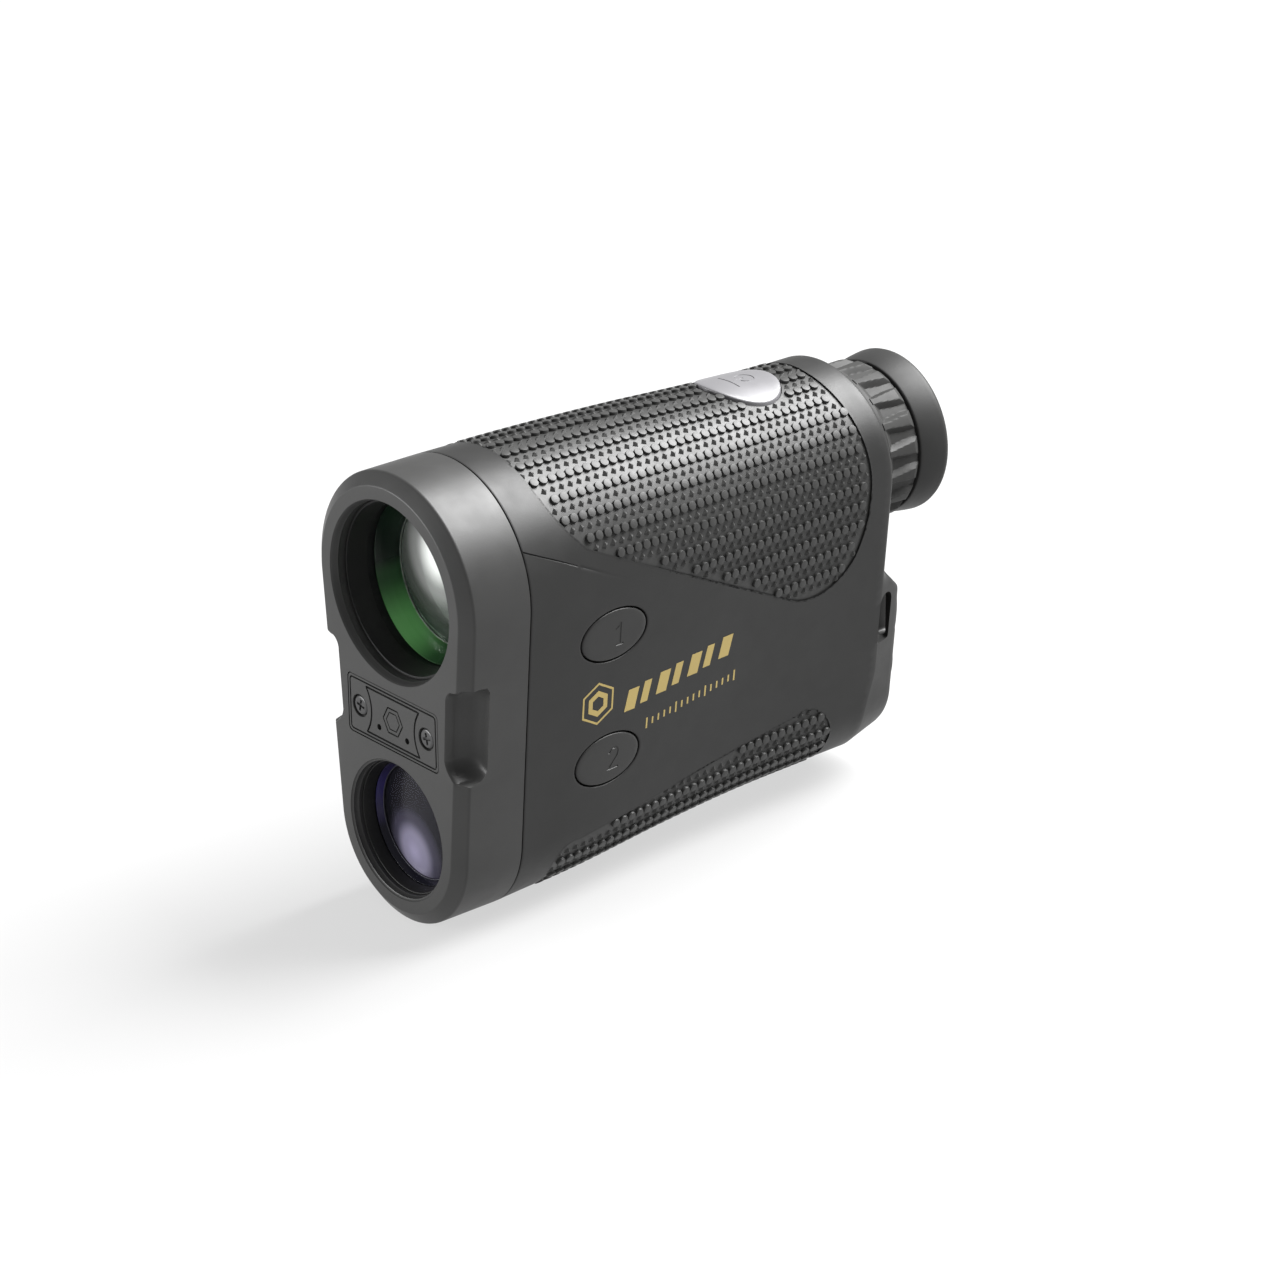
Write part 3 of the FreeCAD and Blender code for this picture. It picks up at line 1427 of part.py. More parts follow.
def main():
    make_nose()
    make_front_plate()
    make_housing()
    make_grips()
    make_buttons()
    make_objective()
    make_receiver()
    make_prisms()
    make_display()
    make_eyepiece_tube()
    make_diopter_ring()
    make_ocular()
    make_eyecup()
    make_battery()
    make_battery_cap()
    make_chassis()
    make_nose_seal()
    make_boards()
    doc.recompute()
    check_all()
    os.makedirs("parts", exist_ok=True)
    for name, thing in PARTS.items():
        thing.Shape.exportStep(f"parts/{name}.step")
        print(f"{name}: {len(thing.Shape.Solids)} solid(s), {thing.Shape.Volume:.1f} mm3")


main()
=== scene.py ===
"""Looks of the laser rangefinder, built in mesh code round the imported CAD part.

Sizes are millimetres. "depth" is the distance behind the front face, "rise" the height above the viewing axis.
The housing, its grips and what is printed on it are drawn on one skin: a depth, and a distance round the skin
from the top middle line towards the +X side (see skin_point).
"""

import math

import bmesh
import bpy
from mathutils import Matrix, Vector
from mathutils.geometry import delaunay_2d_cdt, intersect_point_line


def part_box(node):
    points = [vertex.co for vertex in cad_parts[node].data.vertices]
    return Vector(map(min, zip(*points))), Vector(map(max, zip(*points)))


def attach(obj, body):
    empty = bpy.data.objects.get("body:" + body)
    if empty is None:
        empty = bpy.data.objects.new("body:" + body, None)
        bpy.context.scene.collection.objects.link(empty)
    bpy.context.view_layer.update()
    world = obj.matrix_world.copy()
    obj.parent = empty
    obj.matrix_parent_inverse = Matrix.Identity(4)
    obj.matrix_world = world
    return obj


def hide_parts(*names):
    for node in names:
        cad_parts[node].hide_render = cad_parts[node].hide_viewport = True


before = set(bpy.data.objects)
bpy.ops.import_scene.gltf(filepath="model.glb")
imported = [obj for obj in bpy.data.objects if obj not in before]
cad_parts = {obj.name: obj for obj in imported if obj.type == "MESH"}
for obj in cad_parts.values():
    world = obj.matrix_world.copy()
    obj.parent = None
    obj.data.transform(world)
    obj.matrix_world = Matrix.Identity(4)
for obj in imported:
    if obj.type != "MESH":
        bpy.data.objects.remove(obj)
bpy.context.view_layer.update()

MM = 0.001
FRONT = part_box("nose_bezel")[0].y / MM


def middle_height(node):
    low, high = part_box(node)
    return (low.z + high.z) / 2 / MM


VIEW_AXIS = middle_height("objective_barrel")
RECEIVER_RISE = middle_height("receiver_barrel") - VIEW_AXIS
BATTERY_RISE = middle_height("battery") - VIEW_AXIS
PLATE_RISE = middle_height("front_plate") - VIEW_AXIS


def spot(x, depth, rise):
    """A point in millimetres in the row frame."""
    return (x, FRONT + depth, VIEW_AXIS + rise)


def add_object(name, data):
    thing = bpy.data.objects.new(name, data)
    bpy.context.scene.collection.objects.link(thing)
    return thing


# ------------------------------------------------------------------ mesh building

class Shape:
    """Points in millimetres and faces, collected before they become one mesh."""

    def __init__(self):
        self.points, self.faces = [], []

    def add(self, points, faces):
        base = len(self.points)
        self.points += [tuple(p) for p in points]
        self.faces += [tuple(base + i for i in face) for face in faces]

    def strip(self, rows, closed=False):
        """Quads between rows of points that are equally long."""
        count = len(rows[0])
        faces = []
        for r in range(len(rows) - 1):
            for i in range(count if closed else count - 1):
                j = (i + 1) % count
                faces.append((r * count + i, r * count + j, (r + 1) * count + j, (r + 1) * count + i))
        self.add([p for row in rows for p in row], faces)

    def cap(self, ring):
        """Closes a ring of points with a fan about its middle."""
        centre = [sum(p[k] for p in ring) / len(ring) for k in range(3)]
        count = len(ring)
        self.add([centre, *ring], [(0, i + 1, (i + 1) % count + 1) for i in range(count)])

    def loft(self, rings):
        """A closed form through rings of points, with its two ends capped."""
        self.strip(rings, closed=True)
        self.cap(rings[0])
        self.cap(rings[-1])
        return self

    def both_sides(self):
        """Adds the mirror image across the middle plane."""
        self.add([(-x, y, z) for x, y, z in self.points], [face[::-1] for face in self.faces])


def to_mesh(name, shape, angle=38.0):
    """One welded mesh object, smooth except where faces meet more sharply than the angle."""
    bm = bmesh.new()
    vertices = [bm.verts.new(Vector(p) * MM) for p in shape.points]
    for face in shape.faces:
        corners = [vertices[i] for i in dict.fromkeys(face)]
        if len(corners) > 2 and not bm.faces.get(corners):
            bm.faces.new(corners)
    bmesh.ops.remove_doubles(bm, verts=bm.verts, dist=0.004 * MM)
    flat = [f for f in bm.faces if f.calc_area() < 1e-14]
    bmesh.ops.delete(bm, geom=flat, context="FACES_ONLY")
    loose = [v for v in bm.verts if not v.link_faces]
    bmesh.ops.delete(bm, geom=loose, context="VERTS")
    bmesh.ops.recalc_face_normals(bm, faces=bm.faces)
    mesh = bpy.data.meshes.new(name)
    bm.to_mesh(mesh)
    bm.free()
    soft_shade(mesh, angle)
    return add_object(name, mesh)


def soft_shade(mesh, angle=38.0):
    mesh.shade_smooth()
    mesh.set_sharp_from_angle(angle=math.radians(angle))


def finish_piece(thing, body, look, slot, replaced=()):
    thing.data.materials.clear()
    thing.data.materials.append(LOOKS[look])
    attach(thing, body)
    if replaced:
        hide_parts(*replaced)


def carve(thing, *cutter_shapes):
    """Cuts closed shapes out of a piece, one after the other."""
    for shape in cutter_shapes:
        before = len(thing.data.polygons)
        cutter = to_mesh("cutter", shape)
        modifier = thing.modifiers.new("cut", "BOOLEAN")
        modifier.operation = "DIFFERENCE"
        modifier.object = cutter
        modifier.solver = "MANIFOLD"
        bpy.context.view_layer.update()
        evaluated = thing.evaluated_get(bpy.context.evaluated_depsgraph_get())
        result = bpy.data.meshes.new_from_object(evaluated)
        thing.modifiers.clear()
        old, thing.data = thing.data, result
        result.name = old.name
        bpy.data.meshes.remove(old)
        bpy.data.objects.remove(cutter)
        if len(result.polygons) in (0, before):
            raise RuntimeError(f"a cut out of {thing.name} failed")
        soft_shade(result)


# ------------------------------------------------------------------ outlines

def turns(count):
    return [math.tau * i / count for i in range(count)]


def steps_between(start, end, step):
    count = max(1, math.ceil(abs(end - start) / step))
    return [start + (end - start) * i / count for i in range(count + 1)]


def arc_points(start, end, radius, step):
    """Points from start up to end on an arc. A positive radius turns left on the way."""
    a, b = Vector(start), Vector(end)
    chord = b - a
    half = chord.length / 2
    rise = math.copysign(math.sqrt(max(radius * radius - half * half, 0.0)), radius)
    centre = (a + b) / 2 + Vector((-chord.y, chord.x)).normalized() * rise
    first = math.atan2(a.y - centre.y, a.x - centre.x)
    last = math.atan2(b.y - centre.y, b.x - centre.x)
    sweep = (last - first) % math.tau if radius > 0 else -((first - last) % math.tau)
    count = max(2, math.ceil(abs(sweep * radius) / step))
    angles = [first + sweep * i / count for i in range(count)]
    return [(centre.x + abs(radius) * math.cos(t), centre.y + abs(radius) * math.sin(t)) for t in angles]


def line_points(start, end, step):
    a, b = Vector(start), Vector(end)
    count = max(1, math.ceil((b - a).length / step))
    return [tuple(a + (b - a) * (i / count)) for i in range(count)]


def trace(corners, step=0.45, closed=True):
    """Evenly spaced points along lines and arcs. A corner (a, b, radius) starts an arc."""
    points = []
    for here, there in zip(corners, corners[1:] + corners[:1] if closed else corners[1:]):
        if len(here) == 3:
            points += arc_points(here[:2], there[:2], here[2], step)
        else:
            points += line_points(here, there[:2], step)
    return points if closed else points + [corners[-1][:2]]


def resample(loop, step):
    """A closed loop with points added so that none of its edges is longer than the step."""
    return trace([tuple(p) for p in loop], step)


def ellipse(centre, half_wide, half_high, count=96):
    return [(centre[0] + half_wide * math.cos(t), centre[1] + half_high * math.sin(t)) for t in turns(count)]


def rounded_box(half_wide, half_high, radius, middle=(0.0, 0.0)):
    """A rectangle with round corners, as a closed loop."""
    loop = []
    for across, up, start in ((1, 1, 0), (-1, 1, 90), (-1, -1, 180), (1, -1, 270)):
        for turn in (math.radians(start + 15 * k) for k in range(7)):
            loop.append((middle[0] + across * (half_wide - radius) + radius * math.cos(turn),
                         middle[1] + up * (half_high - radius) + radius * math.sin(turn)))
    return loop


def hexagon(radius, start=0.0):
    corners = [math.radians(start + 60 * k) for k in range(6)]
    return resample([(radius * math.cos(t), radius * math.sin(t)) for t in corners], 0.4)


def offset(path, distance, closed=True):
    """The path moved sideways: to its right for a positive distance."""
    count = len(path)
    moved = []
    for i, point in enumerate(path):
        before = path[i - 1] if closed or i > 0 else point
        after = path[(i + 1) % count] if closed or i < count - 1 else point
        along = Vector((after[0] - before[0], after[1] - before[1])).normalized()
        moved.append((point[0] + along.y * distance, point[1] - along.x * distance))
    return moved


def soften(corners, radius=0.12, steps=4, closed=True):
    """Rounds every corner of an outline. A third value on a corner is that corner's own radius."""
    count = len(corners)
    points = []
    for i, corner in enumerate(corners):
        here = Vector(corner[:2])
        if not closed and i in (0, count - 1):
            points.append(tuple(here))
            continue
        own = corner[2] if len(corner) == 3 else radius
        back = Vector(corners[i - 1][:2]) - here
        ahead = Vector(corners[(i + 1) % count][:2]) - here
        reach = min(own, back.length * 0.45, ahead.length * 0.45)
        start, end = here + back.normalized() * reach, here + ahead.normalized() * reach
        for f in (k / steps for k in range(steps + 1)):
            points.append(tuple(start * (1 - f) ** 2 + here * 2 * f * (1 - f) + end * f * f))
    return points


def inside(point, loop):
    """True if a point lies inside a closed loop."""
    x, y = point
    result = False
    x1, y1 = loop[-1]
    for x2, y2 in loop:
        if (y1 > y) != (y2 > y) and x < (x2 - x1) * (y - y1) / (y2 - y1) + x1:
            result = not result
        x1, y1 = x2, y2
    return result


def fill(outer, holes=(), spacing=1.2, lines=()):
    """Points and triangles that fill an outline with holes. lines are extra open paths kept as edges."""
    points, edges = [], []
    for paths, gap in (([outer, *holes], 0), (lines, 1)):
        for path in paths:
            base, count = len(points), len(path)
            points += [tuple(p[:2]) for p in path]
            edges += [(base + i, base + (i + 1) % count) for i in range(count - gap)]
    cell = spacing * 0.75
    near = {}
    for p in points:
        near.setdefault((p[0] // cell, p[1] // cell), []).append(p)
    low, high = ([pick(p[k] for p in outer) for k in (0, 1)] for pick in (min, max))
    for r in range(int((high[1] - low[1]) / (spacing * 0.87)) + 1):
        for c in range(int((high[0] - low[0]) / spacing) + 2):
            p = (low[0] + (c + 0.5 * (r % 2)) * spacing, low[1] + (r + 0.5) * spacing * 0.87)
            i, j = p[0] // cell, p[1] // cell
            close = [q for a in (-1, 0, 1) for b in (-1, 0, 1) for q in near.get((i + a, j + b), ())]
            if any((p[0] - q[0]) ** 2 + (p[1] - q[1]) ** 2 < (spacing * 0.6) ** 2 for q in close):
                continue
            if inside(p, outer) and not any(inside(p, hole) for hole in holes):
                points.append(p)
    inside_edges = 1
    result = delaunay_2d_cdt([Vector(p) for p in points], edges, [], inside_edges, 1e-6)
    placed = [tuple(v) for v in result[0]]
    triangles = []
    for tri in result[2]:
        centre = [sum(placed[i][k] for i in tri) / 3 for k in (0, 1)]
        if not any(inside(centre, hole) for hole in holes):
            triangles.append(tuple(tri))
    return placed, triangles


def fill_flat(shape, outer, holes, spacing, place):
    """Fills an outline and adds it to the shape, each point put in space by place(point)."""
    points, triangles = fill(outer, holes, spacing)
    shape.add([place(p) for p in points], triangles)


# ------------------------------------------------------------------ the skin

def cubic_curve(knots):
    """A smooth curve through (x, value) knots, straight beyond its ends."""
    xs, vs = zip(*knots)
    steps = [b - a for a, b in zip(xs, xs[1:])]
    slopes = [(b - a) / step for a, b, step in zip(vs, vs[1:], steps)]
    inner = [(slopes[i] * steps[i + 1] + slopes[i + 1] * steps[i]) / (steps[i] + steps[i + 1])
             for i in range(len(steps) - 1)]
    tangents = [slopes[0], *inner, slopes[-1]]

    def value(x):
        if x <= xs[0]:
            return vs[0] + tangents[0] * (x - xs[0])
        if x >= xs[-1]:
            return vs[-1] + tangents[-1] * (x - xs[-1])
        i = max(k for k in range(len(steps)) if xs[k] <= x)
        f = (x - xs[i]) / steps[i]
        a = vs[i] * (2 * f ** 3 - 3 * f ** 2 + 1) + tangents[i] * steps[i] * (f ** 3 - 2 * f ** 2 + f)
        b = vs[i + 1] * (3 * f ** 2 - 2 * f ** 3) + tangents[i + 1] * steps[i] * (f ** 3 - f ** 2)
        return a + b

    return value


def smooth_min(a, b, softness):
    h = max(softness - abs(a - b), 0.0) / softness
    return min(a, b) - h * h * softness / 4


def smooth_step(low, high, value):
    f = min(1.0, max(0.0, (value - low) / (high - low)))
    return f * f * (3 - 2 * f)


NOSE_DEPTH = 12.6
NOSE_TOP, NOSE_LOW = 19.3, 16.0
REAR_DEPTH = 91.7
upper_radius = cubic_curve([(12.6, 19.3), (30, 18.95), (50, 18.15), (65, 17.25), (79, 16.6), (91.7, 16.5)])
lower_radius = cubic_curve([(12.6, 16.0), (30, 15.2), (50, 13.6), (65, 12.75), (79, 12.5), (91.7, 12.45)])

# Nominal lengths of the three stretches of the half section: top arc, straight side, bottom arc.
TOP_ARC, SIDE, LOW_ARC = 30.0, 40.4, 20.0
AROUND = TOP_ARC + SIDE + LOW_ARC
REACH = -RECEIVER_RISE


def side_lean(top, low):
    """The angle at which the straight side leans inward."""
    return math.asin((top - low) / REACH)


def hull_point(around, top, low):
    """(x, rise) on the outline of two circles joined by straight sides, and the outward direction there."""
    lean = side_lean(top, low)
    if around <= TOP_ARC:
        turn = around / TOP_ARC * (math.pi / 2 + lean)
        radius, drop = top, 0.0
    elif around >= TOP_ARC + SIDE:
        turn = math.pi / 2 + lean + (around - TOP_ARC - SIDE) / LOW_ARC * (math.pi / 2 - lean)
        radius, drop = low, REACH
    else:
        f = (around - TOP_ARC) / SIDE
        turn = math.pi / 2 + lean
        radius, drop = top + (low - top) * f, REACH * f
    out = (math.sin(turn), math.cos(turn))
    return (out[0] * radius, out[1] * radius - drop), out


def skin_point(depth, around, height=0.0):
    """A point on the housing's skin, raised by height. A negative around is on the -X side."""
    side = 1 if around >= 0 else -1
    (x, rise), out = hull_point(abs(around), upper_radius(depth), lower_radius(depth))
    return spot(side * (x + out[0] * height), depth, rise + out[1] * height)


def top_around(x, depth):
    """How far round the skin a place on the top lies, x away from the middle line."""
    top = upper_radius(depth)
    return math.asin(min(1.0, x / top)) / (math.pi / 2 + side_lean(top, lower_radius(depth))) * TOP_ARC


def around_at(depth, rise):
    """How far round the skin a height on the side lies."""
    top, low = upper_radius(depth), lower_radius(depth)
    lean = side_lean(top, low)
    high, bottom = -math.sin(lean) * top, -REACH - math.sin(lean) * low
    if rise >= high:
        return math.acos(min(1.0, rise / top)) / (math.pi / 2 + lean) * TOP_ARC
    if rise >= bottom:
        return TOP_ARC + (high - rise) / (high - bottom) * SIDE
    turn = math.acos(max(-1.0, (rise + REACH) / low))
    return TOP_ARC + SIDE + (turn - math.pi / 2 - lean) / (math.pi / 2 - lean) * LOW_ARC


def on_skin(path):
    """Side-view points (depth, rise) as points of the skin (depth, around)."""
    return [(d, around_at(d, r)) for d, r in path]


# ------------------------------------------------------------------ looks

def wire(a, out, b, into):
    a.id_data.links.new(a.outputs[out], b.inputs[into])


def set_inputs(node, values):
    for name, value in values.items():
        node.inputs[name].default_value = value


def add_node(tree, kind, values):
    node = tree.nodes.new("ShaderNode" + kind)
    set_inputs(node, values)
    return node


def new_look(name):
    look = bpy.data.materials.new(name)
    look.use_nodes = True
    return look, look.node_tree, look.node_tree.nodes["Principled BSDF"]


def object_space(tree, node):
    wire(add_node(tree, "TexCoord", {}), "Object", node, "Vector")
    return node


def noise(tree, scale, detail):
    values = {"Scale": scale, "Detail": detail, "Roughness": 0.55}
    return object_space(tree, add_node(tree, "TexNoise", values))


def ramp(source, stops, ease="LINEAR"):
    """Colours for a node's Fac, from stops of (place, colour)."""
    mapped = add_node(source.id_data, "ValToRGB", {})
    elements = mapped.color_ramp.elements
    mapped.color_ramp.interpolation = ease
    while len(elements) < len(stops):
        elements.new(0.5)
    for element, (place, colour) in zip(elements, stops):
        element.position = place
        element.color = (*colour, 1.0)
    wire(source, "Fac", mapped, "Fac")
    return mapped


def between(source, low, high):
    """Maps a noise to the range between two colours."""
    return ramp(source, [(0.35, low), (0.65, high)])


def emboss(texture, shader, strength, distance):
    bump = add_node(texture.id_data, "Bump", {"Strength": strength, "Distance": distance})
    wire(texture, "Fac", bump, "Height")
    wire(bump, "Normal", shader, "Normal")


def vary(tree, shader, colour, spread, rough, rough_spread, scale):
    """Slightly uneven colour and roughness."""
    dark, light = ([c * share for c in colour] for share in (1 - spread, 1 + spread))
    tint = between(noise(tree, scale, 6.0), dark, light)
    wire(tint, "Color", shader, "Base Color")
    gloss = between(noise(tree, scale * 3.1, 5.0), [rough - rough_spread] * 3, [rough + rough_spread] * 3)
    wire(gloss, "Color", shader, "Roughness")


def solid_look(name, colour, rough, spread=0.06, grain_scale=4200.0, grain_strength=0.16, metallic=0.0,
               specular=0.5, coat=0.0):
    """A moulded or painted surface with a fine grain."""
    look, tree, shader = new_look(name)
    vary(tree, shader, colour, spread, rough, 0.03, 90.0)
    emboss(noise(tree, grain_scale, 3.0), shader, grain_strength, 0.00005)
    set_inputs(shader, {"Metallic": metallic, "Specular IOR Level": specular, "Coat Weight": coat,
                        "Coat Roughness": 0.12})
    return look


def turned_look(name, colour, rough):
    """Metal with fine turning marks along the long axis."""
    look, tree, shader = new_look(name)
    vary(tree, shader, colour, 0.12, rough, 0.05, 140.0)
    wave = object_space(tree, add_node(tree, "TexWave", {"Scale": 2600.0, "Distortion": 1.2}))
    wave.bands_direction = "Y"
    emboss(wave, shader, 0.1, 0.00003)
    set_inputs(shader, {"Metallic": 0.6})
    return look


def coated_glass(name, reflect, glow, strength):
    """Clear glass with an anti-reflection coating: see-through, with a tinted mirror sheen."""
    look, tree, shader = new_look(name)
    tree.nodes.remove(shader)
    clear = add_node(tree, "BsdfTransparent", {"Color": (*glow, 1.0)})
    mirror = add_node(tree, "BsdfGlossy", {"Color": (*reflect, 1.0), "Roughness": 0.04})
    wire(between(noise(tree, 60.0, 1.0), [0.04] * 3, [0.06] * 3), "Color", mirror, "Roughness")
    amount = add_node(tree, "Math", {1: strength, 2: strength * 0.06})
    amount.operation = "MULTIPLY_ADD"
    amount.use_clamp = True
    wire(add_node(tree, "Fresnel", {"IOR": 1.5}), "Fac", amount, 0)
    mix = add_node(tree, "MixShader", {})
    wire(amount, "Value", mix, "Fac")
    wire(clear, "BSDF", mix, 1)
    wire(mirror, "BSDF", mix, 2)
    wire(mix, "Shader", tree.nodes["Material Output"], "Surface")
    return look


def painted_reflection_glass(name, centre, reach, stops, glow=0.35):
    """A coated lens face with a painted reflection: bright at one side, it dies away to painted dark towards
    the other, in both its colour and its glow.
    """
    look, tree, shader = new_look(name)
    place = {"Location": [c * MM for c in centre], "Scale": [c * MM for c in reach]}
    mapping = add_node(tree, "Mapping", {})
    mapping.vector_type = "TEXTURE"
    set_inputs(object_space(tree, mapping), place)
    # Painted reflection and painted shade: a fixed spherical gradient in object space, from the centre
    # outward, coloured by the stops.
    fade = add_node(tree, "TexGradient", {})
    fade.gradient_type = "SPHERICAL"
    wire(mapping, "Vector", fade, "Vector")
    tint = ramp(fade, stops, "EASE")
    # The gradient is both the base colour and a painted glow (emission of strength glow), though the lens is
    # no lamp.
    for into in ("Base Color", "Emission Color"):
        wire(tint, "Color", shader, into)
    set_inputs(shader, {"Emission Strength": glow, "Roughness": 0.25, "Specular IOR Level": 0.2})
    return look


LOOKS = {
    "housing": solid_look("moulded_grey", (0.017, 0.017, 0.0167), 0.44, specular=0.25),
    "bezel": solid_look("bezel_grey", (0.030, 0.030, 0.0295), 0.44, specular=0.34),
    "grip": solid_look("stud_rubber", (0.026, 0.026, 0.0254), 0.46, grain_scale=2600.0, grain_strength=0.2,
                       specular=0.35),
    "ring": solid_look("ring_grey", (0.030, 0.030, 0.0294), 0.54, specular=0.16),
    "button": solid_look("button_grey", (0.018, 0.018, 0.0176), 0.42, specular=0.3),
    "power": solid_look("power_pale", (0.145, 0.143, 0.15), 0.40, spread=0.03, grain_strength=0.06,
                        metallic=0.15),
    "black": solid_look("anodised_black", (0.012, 0.012, 0.0125), 0.42, grain_strength=0.1),
    "groove_black": solid_look("groove_black", (0.004, 0.004, 0.004), 0.6),
    "ring_grey": solid_look("ring_dark_grey", (0.008, 0.008, 0.008), 0.5, specular=0.3),
    "turned_black": turned_look("turned_black", (0.012, 0.012, 0.013), 0.38),
    "aluminium": turned_look("machined_aluminium", (0.60, 0.61, 0.62), 0.35),
    "screw": solid_look("screw_dark", (0.055, 0.055, 0.056), 0.36, metallic=0.5, grain_strength=0.08),
    "seal": solid_look("seal_rubber", (0.012, 0.012, 0.012), 0.5),
    "cup": solid_look("eyecup_rubber", (0.022, 0.022, 0.0217), 0.48, grain_scale=3600.0, specular=0.2),
    "gold": solid_look("printed_gold", (0.38, 0.285, 0.09), 0.42, spread=0.05, grain_strength=0.08,
                       metallic=0.15),
    "board": solid_look("board_green", (0.02, 0.16, 0.08), 0.38),
    "chip": solid_look("chip_black", (0.02, 0.02, 0.022), 0.5),
    "film": solid_look("flex_amber", (0.55, 0.26, 0.05), 0.3),
    "brass": turned_look("gold_flash", (0.78, 0.60, 0.28), 0.25),
    "wrap": solid_look("cell_wrap", (0.62, 0.63, 0.66), 0.3, metallic=0.3, coat=0.4),
    "steel": turned_look("bright_steel", (0.60, 0.60, 0.61), 0.28),
    "objective_glass": coated_glass("objective_coating", (0.80, 0.90, 0.82), (0.97, 0.98, 0.97), 0.08),
    "inner_glass": coated_glass("inner_coating", (0.72, 0.88, 0.76), (0.98, 0.99, 0.98), 0.1),
    "receiver_glass": coated_glass("receiver_coating", (0.72, 0.68, 0.98), (0.94, 0.94, 0.97), 0.05),
    # Painted reflections with painted dark sides, for the rims and faces inside the lenses: the green and
    # violet tints are the coatings' own, but their light and dark are painted.
    "green_ring_painted_reflection": painted_reflection_glass("green_coating_painted_reflection", (-7.5, -44.0, VIEW_AXIS - 10.5), (11.5, 60.0, 11.5), [
        (0.0, (0.003, 0.006, 0.004)), (0.25, (0.010, 0.030, 0.011)), (0.95, (0.065, 0.19, 0.06))], glow=0.42),
    "violet_ring_painted_reflection": painted_reflection_glass("violet_coating_painted_reflection", (-9.5, -48.5, VIEW_AXIS - 38.0), (11.0, 60.0, 7.0), [
        (0.0, (0.006, 0.006, 0.009)), (0.3, (0.012, 0.010, 0.03)), (1.0, (0.018, 0.015, 0.06))]),
    "bright_edge": solid_look("polished_edge", (0.45, 0.47, 0.45), 0.3, metallic=0.4, grain_strength=0.04),
    "dim_edge": solid_look("ground_edge", (0.07, 0.07, 0.08), 0.4, metallic=0.2, grain_strength=0.04),
    "objective_face": painted_reflection_glass("objective_painted_reflection", (-1.5, -42.0, VIEW_AXIS + 3.0), (12.5, 60.0, 13.0), [
        (0.0, (0.004, 0.008, 0.005)), (0.25, (0.034, 0.036, 0.034)), (0.5, (0.17, 0.165, 0.17)),
        (0.85, (0.74, 0.72, 0.74))], glow=0.6),
    "receiver_face": painted_reflection_glass("receiver_painted_reflection", (-1.5, -48.0, VIEW_AXIS - 46.5), (7.5, 60.0, 8.5), [
        (0.0, (0.004, 0.004, 0.005)), (0.3, (0.03, 0.028, 0.04)), (0.65, (0.16, 0.15, 0.20)),
        (1.0, (0.22, 0.205, 0.28))], glow=0.35),
}


# ------------------------------------------------------------------ turned pieces

def lathe(profile, rise=0.0, segments=168, cut=None):
    """A closed profile of (depth, radius), swept round a long axis. cut(turn, depth, radius) thins it."""
    rows = []
    for depth, radius in profile:
        ring = []
        for turn in turns(segments):
            r = radius - (cut(turn, depth, radius) if cut else 0.0)
            ring.append(spot(r * math.sin(turn), depth, rise + r * math.cos(turn)))
        rows.append(ring)
    shape = Shape()
    shape.strip(rows + rows[:1], closed=True)
    return shape


def turned(name, corners, rise, look, slot, replaced=(), radius=0.1):
    shape = lathe(soften(corners, radius), rise)
    finish_piece(to_mesh(name, shape), "frame", look, slot, replaced)


# ------------------------------------------------------------------ nose

VIEW_BORE, VIEW_RIM = 14.55, 15.0
LOW_BORE, LOW_RIM = 11.2, 11.8


def full_ring(stops, top, low, depth):
    """The whole oval section at one depth, as a closed ring."""
    half = [hull_point(around, top, low)[0] for around in stops]
    return [spot(x, depth, rise) for x, rise in half + [(-x, rise) for x, rise in reversed(half[1:-1])]]


def make_bezel():
    """The nose: oval casting with a flat face, a chamfer, two bores, a notch each side and a plate recess."""
    chamfer = [(NOSE_DEPTH, 0.0), (1.6, 0.0, 0.35), (0.0, 2.15, 0.16), (0.0, 4.0)]
    profile = [(15.4, 3.3), (13.6, 3.3), (13.6, 2.5), (12.56, 2.5), (12.56, 0.09), (12.47, 0.0)]
    profile += soften(chamfer, closed=False, steps=5)[1:]
    stops = [TOP_ARC * i / 72 for i in range(72)] + [TOP_ARC + SIDE * i / 24 for i in range(24)]
    stops += [TOP_ARC + SIDE + LOW_ARC * i / 72 for i in range(73)]
    rings = [full_ring(stops, NOSE_TOP - inset, NOSE_LOW - inset, depth) for depth, inset in profile]
    bezel = to_mesh("nose_casting", Shape().loft(rings))
    for rise, bore, rim in ((0.0, VIEW_BORE, VIEW_RIM), (RECEIVER_RISE, LOW_BORE, LOW_RIM)):
        carve(bezel, lathe([(-1.0, 0.0), (20.0, 0.0), (20.0, bore), (1.25, bore), (1.15, bore + 0.1),
                            (0.32, bore + 0.22), (0.2, rim - 0.12), (0.0, rim), (-1.0, rim + 0.6)], rise))
    recess = rounded_box(PLATE_HALF_WIDE + 0.1, PLATE_HALF_HIGH + 0.1, 0.9, (0.0, PLATE_RISE))
    carve(bezel, notch_shape(1), notch_shape(-1), block(recess, -1.0, 1.0))
    finish_piece(bezel, "frame", "bezel", "bezel_grey", ["nose_bezel"])


def block(loop, front, back):
    """A block through a loop of (x, rise) points, from one depth to another."""
    return Shape().loft([[spot(x, depth, rise) for x, rise in loop] for depth in (front, back)])


